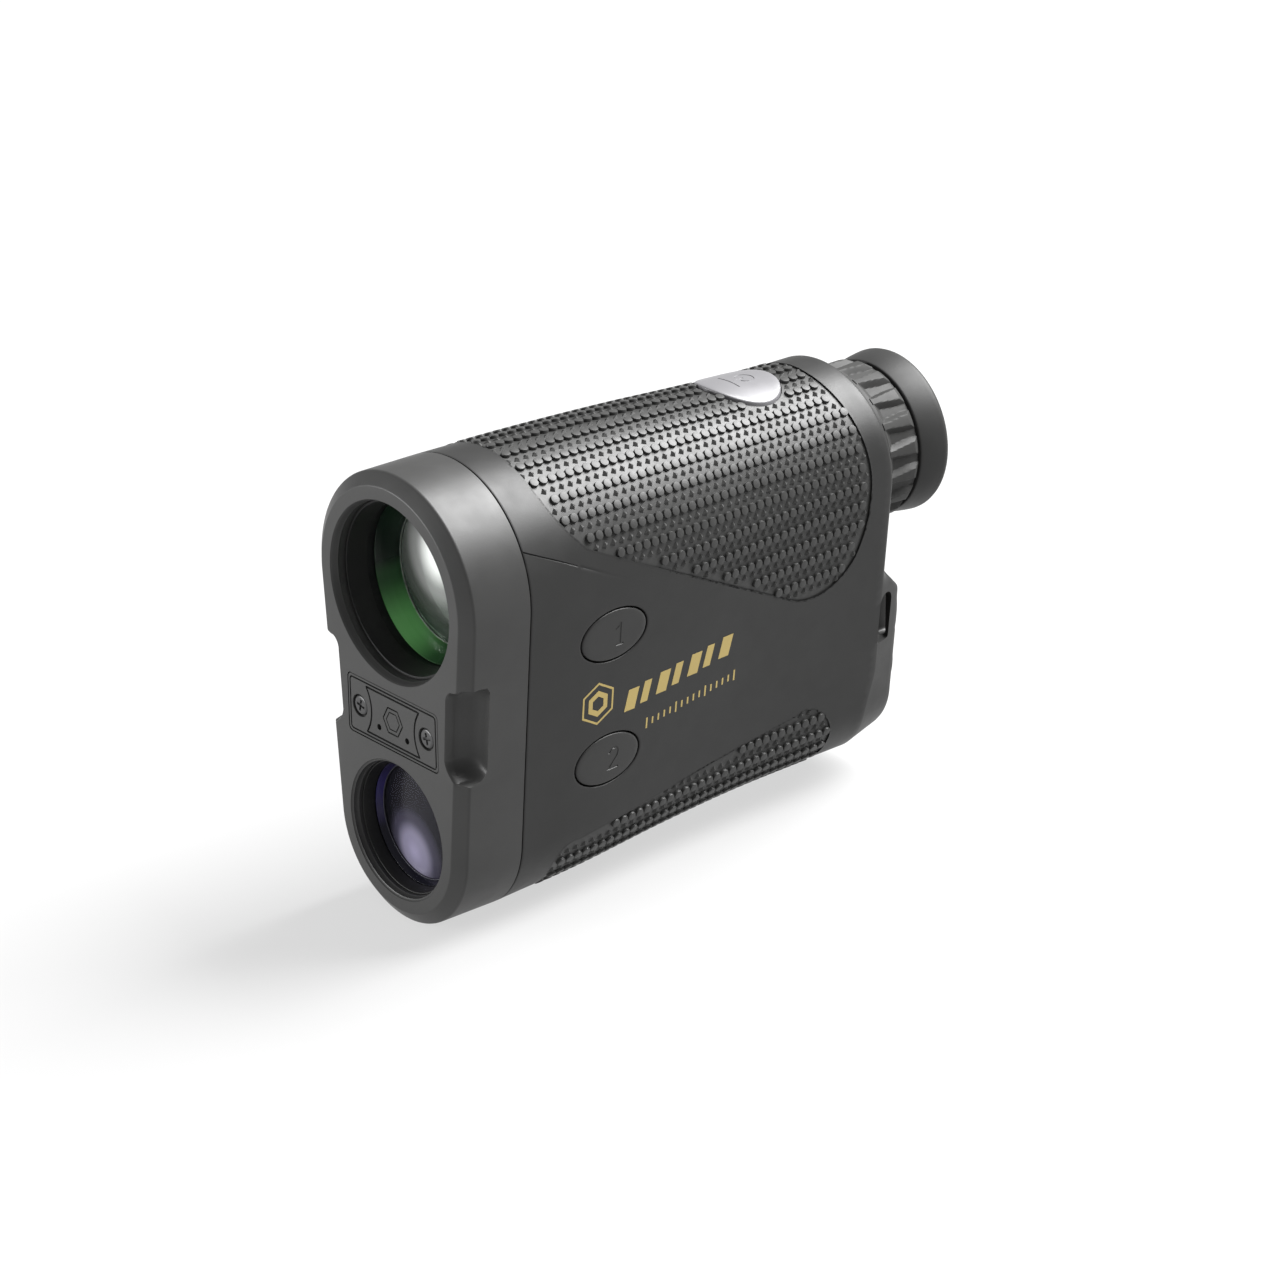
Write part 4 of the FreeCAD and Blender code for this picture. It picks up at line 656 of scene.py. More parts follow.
def notch_shape(side):
    """The scoop in one side of the nose: its floor sweeps into its back wall, and its sill curves forward."""
    outline = trace([
        (24.0, -10.7), (18.2, -10.95), (16.9, -11.1, -2.6), (14.9, -12.0, 2.0), (13.75, -13.9),
        (13.1, -24.0, 3.6), (14.4, -26.2), (15.4, -27.2, -3.0), (17.2, -27.8), (24.0, -28.4),
    ], step=0.3, closed=False)
    outside, sweep = 30.0, 3.4
    rows = []
    for (x, rise), (far_x, far_rise) in zip(outline, offset(outline, 0.25, closed=False)):
        low = min(1.0, max(0.0, (-24.9 - rise) / 3.0))
        back = 4.95 - 2.4 * (1.0 - math.sqrt(1.0 - low * low))
        turn = min(sweep, back - 0.6)
        row = [(outside, -1.0, far_rise), (far_x, -1.0, far_rise), (far_x, -0.02, far_rise)]
        row += [((x + far_x) / 2, 0.12, (rise + far_rise) / 2), (x, 0.35, rise)]
        for angle in map(math.radians, steps_between(0.0, 90.0, 9.0)):
            row.append((x + turn * (1 - math.cos(angle)), back - turn * (1 - math.sin(angle)), rise))
        row.append((outside, back, rise))
        rows.append([spot(side * px, depth, height) for px, depth, height in row])
    return Shape().loft(rows)


# ------------------------------------------------------------------ front plate

PLATE_HALF_WIDE, PLATE_HALF_HIGH = 11.35, 5.0
SCREW_X = 8.4
SCREW_RADIUS, SEAT_RADIUS = 1.62, 1.92


def plate_box(inset, radius):
    return resample(rounded_box(PLATE_HALF_WIDE - inset, PLATE_HALF_HIGH - inset, radius), 0.5)


def concave_frame(half_wide, half_high, bow):
    """A frame whose short sides bow inward."""
    return trace([(-half_wide, -half_high), (half_wide, -half_high, -bow), (half_wide, half_high),
                  (-half_wide, half_high, -bow)], step=0.35)


def match(loop, other):
    """The points of a loop that are nearest to each point of another loop."""
    return [min(loop, key=lambda p: (p[0] - q[0]) ** 2 + (p[1] - q[1]) ** 2) for q in other]


def make_plate():
    """The plate between the lenses: a raised panel with engraved lines, a plain emblem and seats for two
    screws.
    """
    shape = Shape()

    def at(point, sunk=0.0):
        return spot(point[0], 0.02 + sunk, PLATE_RISE + point[1])

    def sink(rows):
        shape.strip([[at(p, sunk) for p in loop] for loop, sunk in rows], closed=True)

    edge = plate_box(0.0, 0.85)
    face = match(plate_box(0.12, 0.75), edge)
    sink([(edge, 0.85), (edge, 0.12), (face, 0.0)])
    shape.cap([at(p, 0.85) for p in edge])

    lines = []
    for loop, width, depth in ((plate_box(0.55, 0.6), 0.30, 0.34),
                               (concave_frame(SCREW_X - 1.7, PLATE_HALF_HIGH - 1.15, 6.5), 0.36, 0.38),
                               (hexagon(2.45), 0.26, 0.3), (hexagon(1.65), 0.2, 0.26)):
        half = width / 2
        slope = min(0.06, half * 0.6)
        steps = ((half, 0.0), (half - slope, depth), (slope - half, depth), (-half, 0.0))
        groove = [(offset(loop, moved), sunk) for moved, sunk in steps]
        sink(groove)
        lines.append(sorted((groove[0][0], groove[-1][0]), key=max))

    seats = [ellipse((x, 0.0), SEAT_RADIUS, SEAT_RADIUS, 48) for x in (SCREW_X, -SCREW_X)]
    for seat in seats:
        wall = offset(seat, -0.06)
        sink([(seat, 0.0), (wall, 0.1), (wall, 0.62)])
        shape.cap([at(p, 0.62) for p in wall])
    dots = [ellipse((x, -2.05), 0.52, 0.52, 24) for x in (3.55, -3.55)]
    for dot in dots:
        sink([(dot, 0.0), (dot, 0.55)])
        shape.cap([at(p, 0.55) for p in dot])

    # The face between the engraved lines, from the outside inward.
    outers = [face] + [inner for inner, outer in lines]
    holes = [[outer] for inner, outer in lines] + [[]]
    for loop, gaps, extra in zip(outers, holes, ([], seats, dots, [], [])):
        fill_flat(shape, loop, gaps + extra, 0.9, at)
    finish_piece(to_mesh("plate_face", shape, 30.0), "frame", "bezel", "bezel_grey", ["front_plate"])


def make_screws():
    """Two small pan-head screws with cross recesses."""
    for side, name, replaced in ((1, "plate_screw_right", ["plate_screws"]), (-1, "plate_screw_left", [])):

        def at(p, depth):
            return spot(SCREW_X * side + p[0], depth, PLATE_RISE + p[1])

        def rings(profile):
            return [[at(p, depth) for p in ellipse((0, 0), radius, radius, 48)] for radius, depth in profile]

        shape = Shape()
        dome = [(SCREW_RADIUS, 0.6), (SCREW_RADIUS, 0.34), (1.54, 0.22), (1.36, 0.14), (1.25, 0.11)]
        shape.strip(rings(dome), closed=True)
        shank = rings([(SCREW_RADIUS, 0.6), (1.0, 0.6), (1.0, 11.4), (0.65, 12.0)])
        shape.strip(shank, closed=True)
        shape.cap(shank[-1])
        cross = cross_loop(1.0, 0.23, math.radians(12 * side))
        floor = [(x * 0.8, y * 0.8) for x, y in cross]
        fill_flat(shape, ellipse((0, 0), 1.25, 1.25, 48), [cross], 0.35, lambda p: at(p, 0.11))
        shape.strip([[at(p, 0.11) for p in cross], [at(p, 0.42) for p in floor]], closed=True)
        fill_flat(shape, floor, [], 0.4, lambda p: at(p, 0.42))
        finish_piece(to_mesh(name, shape), "frame", "screw", "screw_steel", replaced)


def cross_loop(reach, half, turn):
    corners = []
    for a in (turn + k * math.pi / 2 for k in range(4)):
        c, s = math.cos(a), math.sin(a)
        for along, across in ((reach, -half), (reach, half), (half, half)):
            corners.append((along * c - across * s, along * s + across * c))
    return corners


# ------------------------------------------------------------------ housing

UPPER_OUTLINE = [(19.0, 17.9, 15.0), (23.4, 7.4, 5.0), (25.8, 5.3), (70.0, -16.6, 11.6), (84.4, -12.7, 19.3),
                 (86.9, -3.0, 60.0), (84.7, 16.4)]
LOWER_OUTLINE = [(82.6, -52.2), (82.6, -46.5, 8.0), (78.4, -38.9, 5.0), (73.2, -38.5), (25.4, -44.4, 4.5),
                 (20.0, -49.5), (20.0, -52.5)]
BUTTON_DEPTH = 30.15
BUTTON_RISES = (-9.75, -31.9)
BUTTON_HALF_LONG, BUTTON_HALF_HIGH = 7.03, 4.55
POWER_DEPTH = 71.9
POWER_HALF_WIDE, POWER_HALF_LONG = 7.3, 6.8
WELL_GAP = 0.22


def grip_path(outline, seam, moved=0.0):
    """A grip's edge on the skin, moved outward: from a middle line along the side and back to that line."""
    side = on_skin(trace(outline, closed=False))
    start, end = (side[0][0], seam), (side[-1][0], seam)
    path = line_points(start, side[0], 0.45) + side[:-1] + line_points(side[-1], end, 0.45) + [end]
    inner = offset(path, moved, closed=False)
    return [(inner[0][0], seam), *inner[1:-1], (inner[-1][0], seam)]


def power_half_loop(grow):
    """The +X half of the power button's outline on the skin, front to rear, its ends on the middle line."""
    points = []
    for turn in map(math.radians, steps_between(0.0, 180.0, 4.5)):
        depth = POWER_DEPTH - (POWER_HALF_LONG + grow) * math.cos(turn)
        points.append((depth, top_around((POWER_HALF_WIDE + grow) * math.sin(turn), depth)))
    return [(points[0][0], 0.0), *points[1:-1], (points[-1][0], 0.0)]


def button_loop(number, grow):
    """A side button's outline on the skin."""
    middle = (BUTTON_DEPTH, BUTTON_RISES[number - 1])
    return on_skin(ellipse(middle, BUTTON_HALF_LONG + grow, BUTTON_HALF_HIGH + grow))


def lay(shape, rows, closed):
    """A strip of skin through rows of ((depth, around) path, height)."""
    shape.strip([[skin_point(d, a, height) for d, a in path] for path, height in rows], closed=closed)


def lay_fill(shape, outer, holes, height, spacing, lines=(), sunk=lambda d, a: 0.0):
    """Fills an outline on the skin at one height. sunk maps a point to its own depth below it."""
    points, triangles = fill(outer, holes, spacing, lines)
    shape.add([skin_point(d, a, height - sunk(d, a)) for d, a in points], triangles)


# The rear of the housing: a rim that leans forward at the top, and a deeper bulge below a short shelf.
SHELF = cubic_curve([(-24.0, 96.5), (-21.4, 95.9), (-20.4, 94.9), (-18.0, 92.6), (-17.0, 91.8), (-16.0, 91.7)])
BULGE_DEPTH = 96.8


def rim_depth(rise):
    """Depth of the rear face above the shelf."""
    return REAR_DEPTH - max(0.0, rise + 4.0) ** 2 / 300.0


def rear_limit(rise):
    """Depth of the rear face at a height, without the taper at its edge."""
    return rim_depth(rise) if rise > -16.0 else smooth_min(SHELF(rise), BULGE_DEPTH, 0.5)


def rear_start(rise):
    """Depth at which the skin ends and the rounded or tapered rear edge begins."""
    low = 91.0 - 1.6 * smooth_step(-35.0, -44.0, rise)
    return low + (rim_depth(rise) - 1.0 - low) * smooth_step(-21.0, -17.0, rise)


def rear_profile(inset, rise):
    """Depth of the rear surface at a distance in from the housing's outline."""
    start = rear_start(rise)
    rounded = start + math.sqrt(max(0.0, 1.0 - (1.0 - min(inset, 1.0)) ** 2))
    tapered = start + inset * (BULGE_DEPTH + 0.1 - start) / 1.75
    upper = smooth_step(-21.0, -17.0, rise)
    edge = tapered + (rounded + max(0.0, inset - 1.0) * 3.0 - tapered) * upper
    return smooth_min(edge, rear_limit(rise), 0.5)


REAR_INSETS = [0.06, 0.14, 0.24, 0.36, 0.5, 0.65, 0.8, 1.0, 1.2, 1.4, 1.6, 1.8, 2.05, 2.4, 2.9, 3.5]


def rear_stops():
    """Where the rear edge is sampled, closer together round the shelf."""
    stops = []
    around = 0.0
    while around < AROUND - 0.3:
        stops.append(around)
        around += 0.28 if 38.0 < around < 56.0 else 0.6
    return stops + [AROUND]


def rear_outline(inset):
    """The housing's (x, rise) outline at its rear, moved inward."""
    top, low = upper_radius(REAR_DEPTH), lower_radius(REAR_DEPTH)
    return [hull_point(around, top - inset, low - inset)[0] for around in rear_stops()]


def rear_edge():
    """The skin's rear edge as (depth, around) points."""
    return [(rear_start(rise), around) for (_, rise), around in zip(rear_outline(0.0), rear_stops())]


CREASE = on_skin(trace([(12.9, 8.6), (19.2, 5.75), (26.7, 2.1), (33.2, -1.15)], 0.5, closed=False))
CREASE_POINTS = {(round(d, 3), round(a, 3)) for d, a in CREASE}


def crease_depth(depth, around):
    """How deep the skin is sunk: on the crease's own line, fading out to the rear."""
    if (round(depth, 3), round(around, 3)) not in CREASE_POINTS:
        return 0.0
    return 0.2 * (1.0 - smooth_step(14.0, 33.0, depth) * 0.97)


def crease_lines():
    """The crease's lines, and lines beside the nose's joint that keep its sides crisp."""
    lines = [[p for p in offset(CREASE, side, False) if p[0] > NOSE_DEPTH + 0.6] for side in (0.5, -0.5)]
    lines += [offset(CREASE, 0.15, False), CREASE, offset(CREASE, -0.15, False)]
    start = CREASE[0][1]
    for low, high in ((0.3, start - 0.6), (start + 0.6, AROUND - 0.3)):
        lines.append([(NOSE_DEPTH + 0.5, around) for around in steps_between(low, high, 0.6)])
    return lines


def housing_side(with_buttons):
    """Half of the housing's outside, on the +X side."""
    shape = Shape()
    lip = [(0.45, 0.0), (0.16, 0.0), (0.09, -0.02), (0.03, -0.08), (0.0, -0.18), (0.0, -1.2)]
    upper, lower = ([(grip_path(outline, seam, grow), height) for grow, height in lip]
                    for outline, seam in ((UPPER_OUTLINE, 0.0), (LOWER_OUTLINE, AROUND)))
    lay(shape, upper, closed=False)
    lay(shape, lower, closed=False)

    power = power_half_loop(WELL_GAP)
    lay(shape, [(power, -1.2), (power, -2.6)], closed=False)
    lay_fill(shape, power, [], -2.6, 1.6)
    floor = upper[-1][0]
    outline = floor[:1] + [p for p in floor if p[1] > 0.0] + floor[-1:] + power[::-1]
    lay_fill(shape, outline, [], -1.2, 1.8)
    lay_fill(shape, lower[-1][0], [], -1.2, 1.8)

    holes = []
    for number in (1, 2) if with_buttons else ():
        rows = [(button_loop(number, grow), height) for grow, height in
                ((0.5, 0.0), (0.16, 0.0), (0.08, -0.02), (0.02, -0.08), (0.0, -0.18), (0.0, -2.6))]
        lay(shape, rows, closed=True)
        lay_fill(shape, rows[-1][0], [], -2.6, 1.8)
        holes.append(rows[0][0])

    edge = rear_edge()
    upper_rim, lower_rim = upper[0][0], lower[0][0]
    top, bottom = (NOSE_DEPTH + 0.2, 0.0), (NOSE_DEPTH + 0.2, AROUND)
    joint = line_points(top, bottom, 0.6) + [bottom]
    outline = joint[:1]
    for start, path in ((joint[0], upper_rim), (upper_rim[-1], edge), (edge[-1], lower_rim),
                        (lower_rim[-1], joint[:0:-1])):
        outline += line_points(start, path[0], 0.6)[1:] + path
    lay_fill(shape, outline, holes, 0.0, 1.1, lines=crease_lines(), sunk=crease_depth)

    # The front end turns in at the joint with the nose.
    lay(shape, [([(d + moved, a) for d, a in joint], height) for moved, height in
                ((0.0, 0.0), (-0.07, -0.04), (-0.1, -0.13), (-0.1, -2.3))], closed=False)
    return shape


def rear_surface(shape):
    """The rear edge, rim, shelf and bulge on the +X side, as one sheet."""

    def placed(inset, points):
        return [spot(x, rear_profile(inset, rise), rise) for x, rise in points]

    shape.strip([[skin_point(d, a) for d, a in rear_edge()]]
                + [placed(inset, rear_outline(inset)) for inset in REAR_INSETS])
    inset = REAR_INSETS[-1]
    rim = rear_outline(inset)
    middle = [(0.0, rise) for rise in steps_between(rim[-1][1], rim[0][1], 0.7)[1:-1]]
    creases = []
    for rise in (-15.5, -16.5, -17.0, -17.5, -18.2, -19.0, -19.8, -20.4, -21.0, -21.6, -22.4, -24.0):
        wide = min(rim, key=lambda p: abs(p[1] - rise))[0] - 0.3
        creases.append([(x, rise) for x in steps_between(0.3, wide, 0.7)])
    points, triangles = fill(rim + middle, [], 1.1, creases)
    shape.add(placed(inset, points), triangles)


def make_housing():
    shape, left = housing_side(True), housing_side(False)
    rear_surface(shape)
    rear_surface(left)
    shape.add([(-x, y, z) for x, y, z in left.points], left.faces)
    front = [skin_point(NOSE_DEPTH + 0.1, around, -2.3) for around in steps_between(0.0, AROUND, 0.6)]
    shape.cap(front + [(-x, y, z) for x, y, z in reversed(front[1:-1])])
    housing = to_mesh("housing_shell", shape)
    tube_bore = [(88.0, 0.0), (99.0, 0.0), (99.0, 11.6), (88.0, 11.6)]
    battery_bore = [(88.0, 0.0), (99.0, 0.0), (99.0, 11.0), (95.75, 11.0), (95.75, 9.6), (88.0, 9.6)]
    outlet = block(rounded_box(0.85, 4.2, 0.8, (11.05, -26.25)), 92.0, 99.0)
    carve(housing, cavity_shape(), lathe(tube_bore), lathe(battery_bore, BATTERY_RISE), slot_shape(), outlet)
    finish_piece(housing, "frame", "housing", "housing_grey", ["main_housing"])


def cavity_shape():
    """The hollow inside the housing."""
    wall = 2.3
    return Shape().loft([full_ring(steps_between(0.0, AROUND, 2.0), upper_radius(depth) - wall,
                                   lower_radius(depth) - wall, depth)
                         for depth in [12.0] + steps_between(14.0, 89.4, 3.0)])


def slot_shape():
    """The lanyard slot in the bulge's right side, round at the top and sloped at the bottom."""
    outline = trace([(90.95, -23.2, -1.7), (92.65, -21.6, -1.7), (94.35, -23.2), (94.35, -30.0, -0.6),
                     (93.75, -30.6), (91.55, -30.6, -0.6), (90.95, -30.0)], step=0.25)
    return Shape().loft([[spot(x, d, r + (0.0 if r > -29 else (x - 12.0) * -0.12)) for d, r in outline]
                         for x in (10.2, 14.2, 22.0)])


# ------------------------------------------------------------------ grips

STUD_PITCH, ROW_PITCH = 1.775, 3.55
GRIP_TOP, GRIP_FLOOR = -0.3, -1.15
STUD_TOP = 0.18
STUD_MARGIN, POINT_MARGIN = 1.35, 1.0


def grip_pad(name, outline, seam, hole, node):
    """The rubber pad: its own edge rounded over, both halves of the body."""
    shape = Shape()
    edge = [(-0.08, GRIP_FLOOR), (-0.08, -0.62), (-0.11, -0.48), (-0.2, -0.36), (-0.34, GRIP_TOP)]
    rows = [(grip_path(outline, seam, grow), height) for grow, height in edge]
    lay(shape, rows, closed=False)
    for rim, height in (rows[0], rows[-1]):
        lay_fill(shape, rim + hole[::-1], [], height, 1.2)
    lay(shape, [(hole, GRIP_TOP), (hole, GRIP_FLOOR)], closed=False)
    shape.both_sides()
    finish_piece(to_mesh(name, shape), "frame", "grip", "grip_rubber", [node])


def raised(shape, depth, around, rings):
    """A small closed form on the skin, through rings of (back, side) points at a height."""
    here = Vector(skin_point(depth, around))
    out = (Vector(skin_point(depth, around, 1.0)) - here).normalized()
    back = (Vector(skin_point(depth + 0.5, around)) - here).normalized()
    side = out.cross(back).normalized()
    out = back.cross(side).normalized()
    shape.loft([[here + out * height + back * b + side * s for b, s in ring] for ring, height in rings])


# A round, flat-topped stud with a softened rim, and a small four-sided point between the rows of studs.
STUD = [(ellipse((0, 0), radius, radius, 16), height) for radius, height in
        ((0.80, -0.42), (0.76, STUD_TOP - 0.07), (0.73, STUD_TOP - 0.015), (0.66, STUD_TOP))]
POINT = [([(-0.95, -0.3), (0.1, -0.75), (0.75, 0.2), (0.0, 0.75)], -0.42),
         ([(-0.09, 0), (0, -0.09), (0.09, 0), (0, 0.09)], 0.1)]


def stud_field(name, outline, seam, hole, row_pitch, row_count):
    """Rows of studs and points that cover one pad."""
    loop = grip_path(outline, seam, -0.3)
    middle, paired = Shape(), Shape()
    for row in range(row_count):
        for column in range(60):
            for half, rings, margin in ((0, STUD, STUD_MARGIN), (1, POINT, POINT_MARGIN)):
                depth = 13.6 + (column + 0.5 * half) * STUD_PITCH
                around = abs(seam - (row + 0.5 * half) * row_pitch)
                if clear_of((depth, around), loop, margin) and not (hole and near_power(depth, around, 0.55)):
                    raised(paired if row or half else middle, depth, around, rings)
    paired.both_sides()
    paired.add(middle.points, middle.faces)
    finish_piece(to_mesh(name, paired, 30.0), "frame", "grip", "grip_rubber")


def clear_of(point, loop, margin):
    """True if the point is inside the loop and at least a margin away from its edge, seams left out."""
    if not inside(point, loop):
        return False
    here = Vector(point)
    for a, b in zip(loop, loop[1:]):
        if max(a[1], b[1]) < 0.05 or min(a[1], b[1]) > AROUND - 0.05:
            continue
        share = intersect_point_line(here, Vector(a), Vector(b))[1]
        nearest = Vector(a).lerp(Vector(b), min(1.0, max(0.0, share)))
        if (nearest - here).length < margin:
            return False
    return True


def near_power(depth, around, margin):
    x = skin_point(depth, around)[0]
    wide, long_ = POWER_HALF_WIDE + margin, POWER_HALF_LONG + margin
    return (x / wide) ** 2 + ((depth - POWER_DEPTH) / long_) ** 2 < 1.0


def make_grips():
    """Both pads with their studs. Rows keep a constant angle round the body, so each arc has its own pitch."""
    upper_pitch = ROW_PITCH * TOP_ARC / (18.2 * 1.67)
    lower_pitch = ROW_PITCH * LOW_ARC / (13.8 * 1.47)
    hole = power_half_loop(WELL_GAP)
    grip_pad("upper_grip_pad", UPPER_OUTLINE, 0.0, hole, "upper_grip")
    grip_pad("lower_grip_pad", LOWER_OUTLINE, AROUND, [], "lower_grip")
    stud_field("upper_grip_studs", UPPER_OUTLINE, 0.0, hole, upper_pitch, 14)
    stud_field("lower_grip_studs", LOWER_OUTLINE, AROUND, [], lower_pitch, 9)


# ------------------------------------------------------------------ buttons

def engrave(shape, base, outline_at, strokes, crown, sunk):
    """Fills a button's crown and sinks each stroke outline into it."""
    fill_flat(shape, base, strokes, 0.7, lambda p: outline_at(p, crown))
    for stroke in strokes:
        inner = offset(stroke, -0.06)
        wall = [[outline_at(p, crown) for p in stroke], [outline_at(p, crown - sunk) for p in inner]]
        shape.strip(wall, closed=True)
        fill_flat(shape, inner, [], 0.5, lambda p: outline_at(p, crown - sunk))


def numeral(number):
    """The outline of a plain figure 1 or 2, about 4 mm tall, drawn anticlockwise round its middle."""
    if number == 1:
        return resample([(-0.75, -2.0), (0.75, -2.0), (0.75, -1.65), (0.2, -1.65), (0.2, 2.0), (-0.15, 2.0),
                         (-1.0, 1.2), (-1.0, 0.8), (-0.2, 1.35), (-0.2, -1.65), (-0.75, -1.65)], 0.4)
    outer = arc_points((1.15, 1.0), (-1.1, 0.95), 1.1, 0.3)
    inner = arc_points((-0.75, 0.95), (0.75, 0.95), -0.76, 0.3)
    tail = [(0.75, 0.95), (0.62, 0.4), (-1.15, -1.7), (-1.15, -2.0), (1.15, -2.0), (1.15, -1.65),
            (-0.65, -1.65), (0.98, 0.3)]
    return resample(outer + [(-1.1, 0.95)] + inner + tail, 0.4)


def make_buttons():
    """Two oval side buttons, each with its number engraved."""
    for number in (1, 2):
        shape = Shape()
        edge = [(-0.28, -2.5), (-0.28, -0.2), (-0.32, -0.08), (-0.42, 0.01), (-0.6, 0.05)]
        rows = [(button_loop(number, grow), height) for grow, height in edge]
        lay(shape, rows, closed=True)
        lay_fill(shape, rows[0][0], [], -2.5, 1.6)
        middle = around_at(BUTTON_DEPTH, BUTTON_RISES[number - 1] - 0.1)
        # The skin's second coordinate grows downward, so the figure is turned over and its order reversed.
        figure = [(BUTTON_DEPTH + 1.2 + x, middle - y) for x, y in reversed(numeral(number))]
        engrave(shape, rows[-1][0], lambda p, h: skin_point(p[0], p[1], h), [figure], 0.05, 0.09)
        name = f"button_{number}"
        finish_piece(to_mesh(f"{name}_cap", shape), name, "button", "button_grey", [name])


def make_power_button():
    """The pale oval button on top, gently domed, with a power sign and a short bar engraved."""
    shape = Shape()

    def at(point, height):
        x, y = point
        top = upper_radius(POWER_DEPTH + y)
        dome = 0.14 * (1.0 - (x / POWER_HALF_WIDE) ** 2 - (y / POWER_HALF_LONG) ** 2)
        return spot(x, POWER_DEPTH + y, math.sqrt(max(0.0, top * top - x * x)) + height + dome)

    rim = ellipse((0, 0), POWER_HALF_WIDE, POWER_HALF_LONG, 128)
    edge = [(-0.02, -4.2), (-0.02, 0.05), (-0.07, 0.18), (-0.2, 0.28), (-0.42, 0.32)]
    rows = [[at(p, height) for p in offset(rim, grow)] for grow, height in edge]
    shape.strip(rows, closed=True)
    shape.cap(rows[0])
    # Seen from behind the eyepiece the signs stand upright, so they are turned half round.
    signs = [[(-x, -y) for x, y in loop] for loop in power_signs()]
    engrave(shape, offset(rim, -0.42), at, signs, 0.32, 0.1)
    finish_piece(to_mesh("power_button_cap", shape), "power_button", "power", "power_pale", ["power_button"])


def power_signs():
    """A ring open at its top, the upright bar in its gap, and a line over both."""
    sweep = [math.radians(120 + 300 * k / 32) for k in range(33)]
    ring = []
    for radius, order in ((1.75, sweep), (1.4, reversed(sweep))):
        ring += [(radius * math.cos(t), -1.3 + radius * math.sin(t)) for t in order]
    return [ring, bar(-0.18, 0.36, -0.15, 1.05, 0.0, 0.4), bar(-2.6, 5.2, 1.925, 0.175, 0.0, 0.5)]


# ------------------------------------------------------------------ printed marks

def bar(start, wide, middle, half_high, slant, step):
    """A bar's outline; slant is how far its top leans."""
    low, high = middle - half_high, middle + half_high
    end = start + wide
    return resample([(start, low), (end, low), (end + slant, high), (start + slant, high)], step)


def print_marks(name, marks):
    """Thin printed films on the +X side. A mark is a side-view outline (depth, rise) and its holes."""
    shape = Shape()
    front, back = 0.018, 0.002
    for mark in marks:
        paths = [on_skin(path) for path in mark]
        for height in (front, back):
            lay_fill(shape, paths[0], paths[1:], height, 0.8)
        for path in paths:
            lay(shape, [(path, front), (path, back)], closed=True)
    finish_piece(to_mesh(name, shape), "frame", "gold", "gold_print")


def make_marks():
    """Plain gold marks where the maker's were: a hexagon sign, a row of slanted bars and a row of ticks."""
    print_marks("side_emblem", [[[(27.4 + x, -21.1 + y) for x, y in hexagon(radius, 30.0)] for radius in pair]
                                for pair in ((3.75, 3.35), (2.3, 1.3))])
    count, start, end, slant = 7, 33.2, 58.2, 0.85
    pitch = (end - start - slant) / count
    print_marks("side_bars", [[bar(start + k * pitch, pitch * (0.46 if k % 2 else 0.66),
                                   -22.9 + 3.2 * (k + 0.5) / count, 1.85, slant, 0.6)] for k in range(count)])
    count, start, end = 16, 38.3, 57.8
    pitch = (end - start) / (count - 1)
    print_marks("side_ticks", [[bar(start + k * pitch, 0.34, -28.2 + 2.2 * k / (count - 1),
                                    0.6 if k % 5 else 0.95, 0.0, 0.5)] for k in range(count)])


# ------------------------------------------------------------------ lenses and their rings

def make_lens_rings():
    turned("objective_front_ring", [
        (2.5, VIEW_BORE - 0.06, 0.05), (2.5, 14.05, 0.12), (6.4, 13.65, 0.15), (6.4, VIEW_BORE - 0.06, 0.05),
    ], 0.0, "ring_grey", "anodised_black", ["objective_retainer"])
    turned("receiver_front_ring", [
        (1.8, LOW_BORE - 0.06, 0.05), (1.8, 10.9, 0.1), (3.8, 10.4, 0.12), (3.8, LOW_BORE - 0.06, 0.05),
    ], RECEIVER_RISE, "ring_grey", "anodised_black", ["receiver_retainer"])


def make_lens_edges_and_painted_reflections():
    """What shows inside the lenses: their coated rims and the coated faces behind, which carry painted
    reflections fading to painted dark, and the stops' bright edges.
    """
    for lens, rise, slot, rim_look, rim, edge_look, edge, radius, depth, bulge in (
            ("objective", 0.0, "coated_glass",
             "green_ring_painted_reflection", [(7.75, 13.62), (11.3, 11.8), (11.3, 12.0), (7.75, 13.8)],
             "bright_edge", [(11.3, 11.72), (11.3, 11.82), (11.5, 11.82), (11.5, 11.72)], 11.6, 11.55, 0.6),
            ("receiver", RECEIVER_RISE, "blue_coated_glass",
             "violet_ring_painted_reflection", [(3.95, 10.32), (5.0, 9.75), (5.0, 9.95), (3.95, 10.45)],
             "dim_edge", [(4.9, 9.62), (4.9, 9.74), (5.1, 9.74), (5.1, 9.62)], 9.6, 5.2, 0.9)):
        turned(f"{lens}_painted_reflection_rim", rim, rise, rim_look, slot, radius=0.03)
        turned(f"{lens}_stop_edge", edge, rise, edge_look, slot, radius=0.02)
        face = [(depth - bulge * (1 - (r / radius) ** 2), r) for r in steps_between(0.0, radius, 0.8)]
        face = lathe(face + [(depth + 0.2, radius), (depth + 0.2, 0.0)], rise)
        # Each face is a disc inside its lens with a painted reflection: bright at one side, painted dark at
        # the other.
        finish_piece(to_mesh(f"{lens}_painted_reflection_face", face, 60.0), "frame", f"{lens}_face", slot)


def lens_profile(radius, apex, curve, back, bulge=0.0):
    """Half outline of a lens: a convex front, a ground rim and a back that may bulge."""
    radii = [radius * k / 28 for k in range(29)]
    front = [(apex + curve - math.sqrt(curve * curve - r * r), r) for r in radii]
    return front + [(back - bulge * (r / radius) ** 2, r) for r in reversed(radii)]


def make_lenses():
    objective = lathe(lens_profile(13.6, 6.0, 60.0, 8.3, -1.5))
    receiver = lathe(lens_profile(10.4, 2.6, 40.0, 8.1), RECEIVER_RISE)
    for lens, shape, slot, node in (("objective", objective, "coated_glass", "objective_front_lens"),
                                    ("receiver", receiver, "blue_coated_glass", "receiver_lens")):
        finish_piece(to_mesh(f"{lens}_lens_glass", shape, 60.0), "frame", f"{lens}_glass", slot, [node])


# ------------------------------------------------------------------ eyepiece

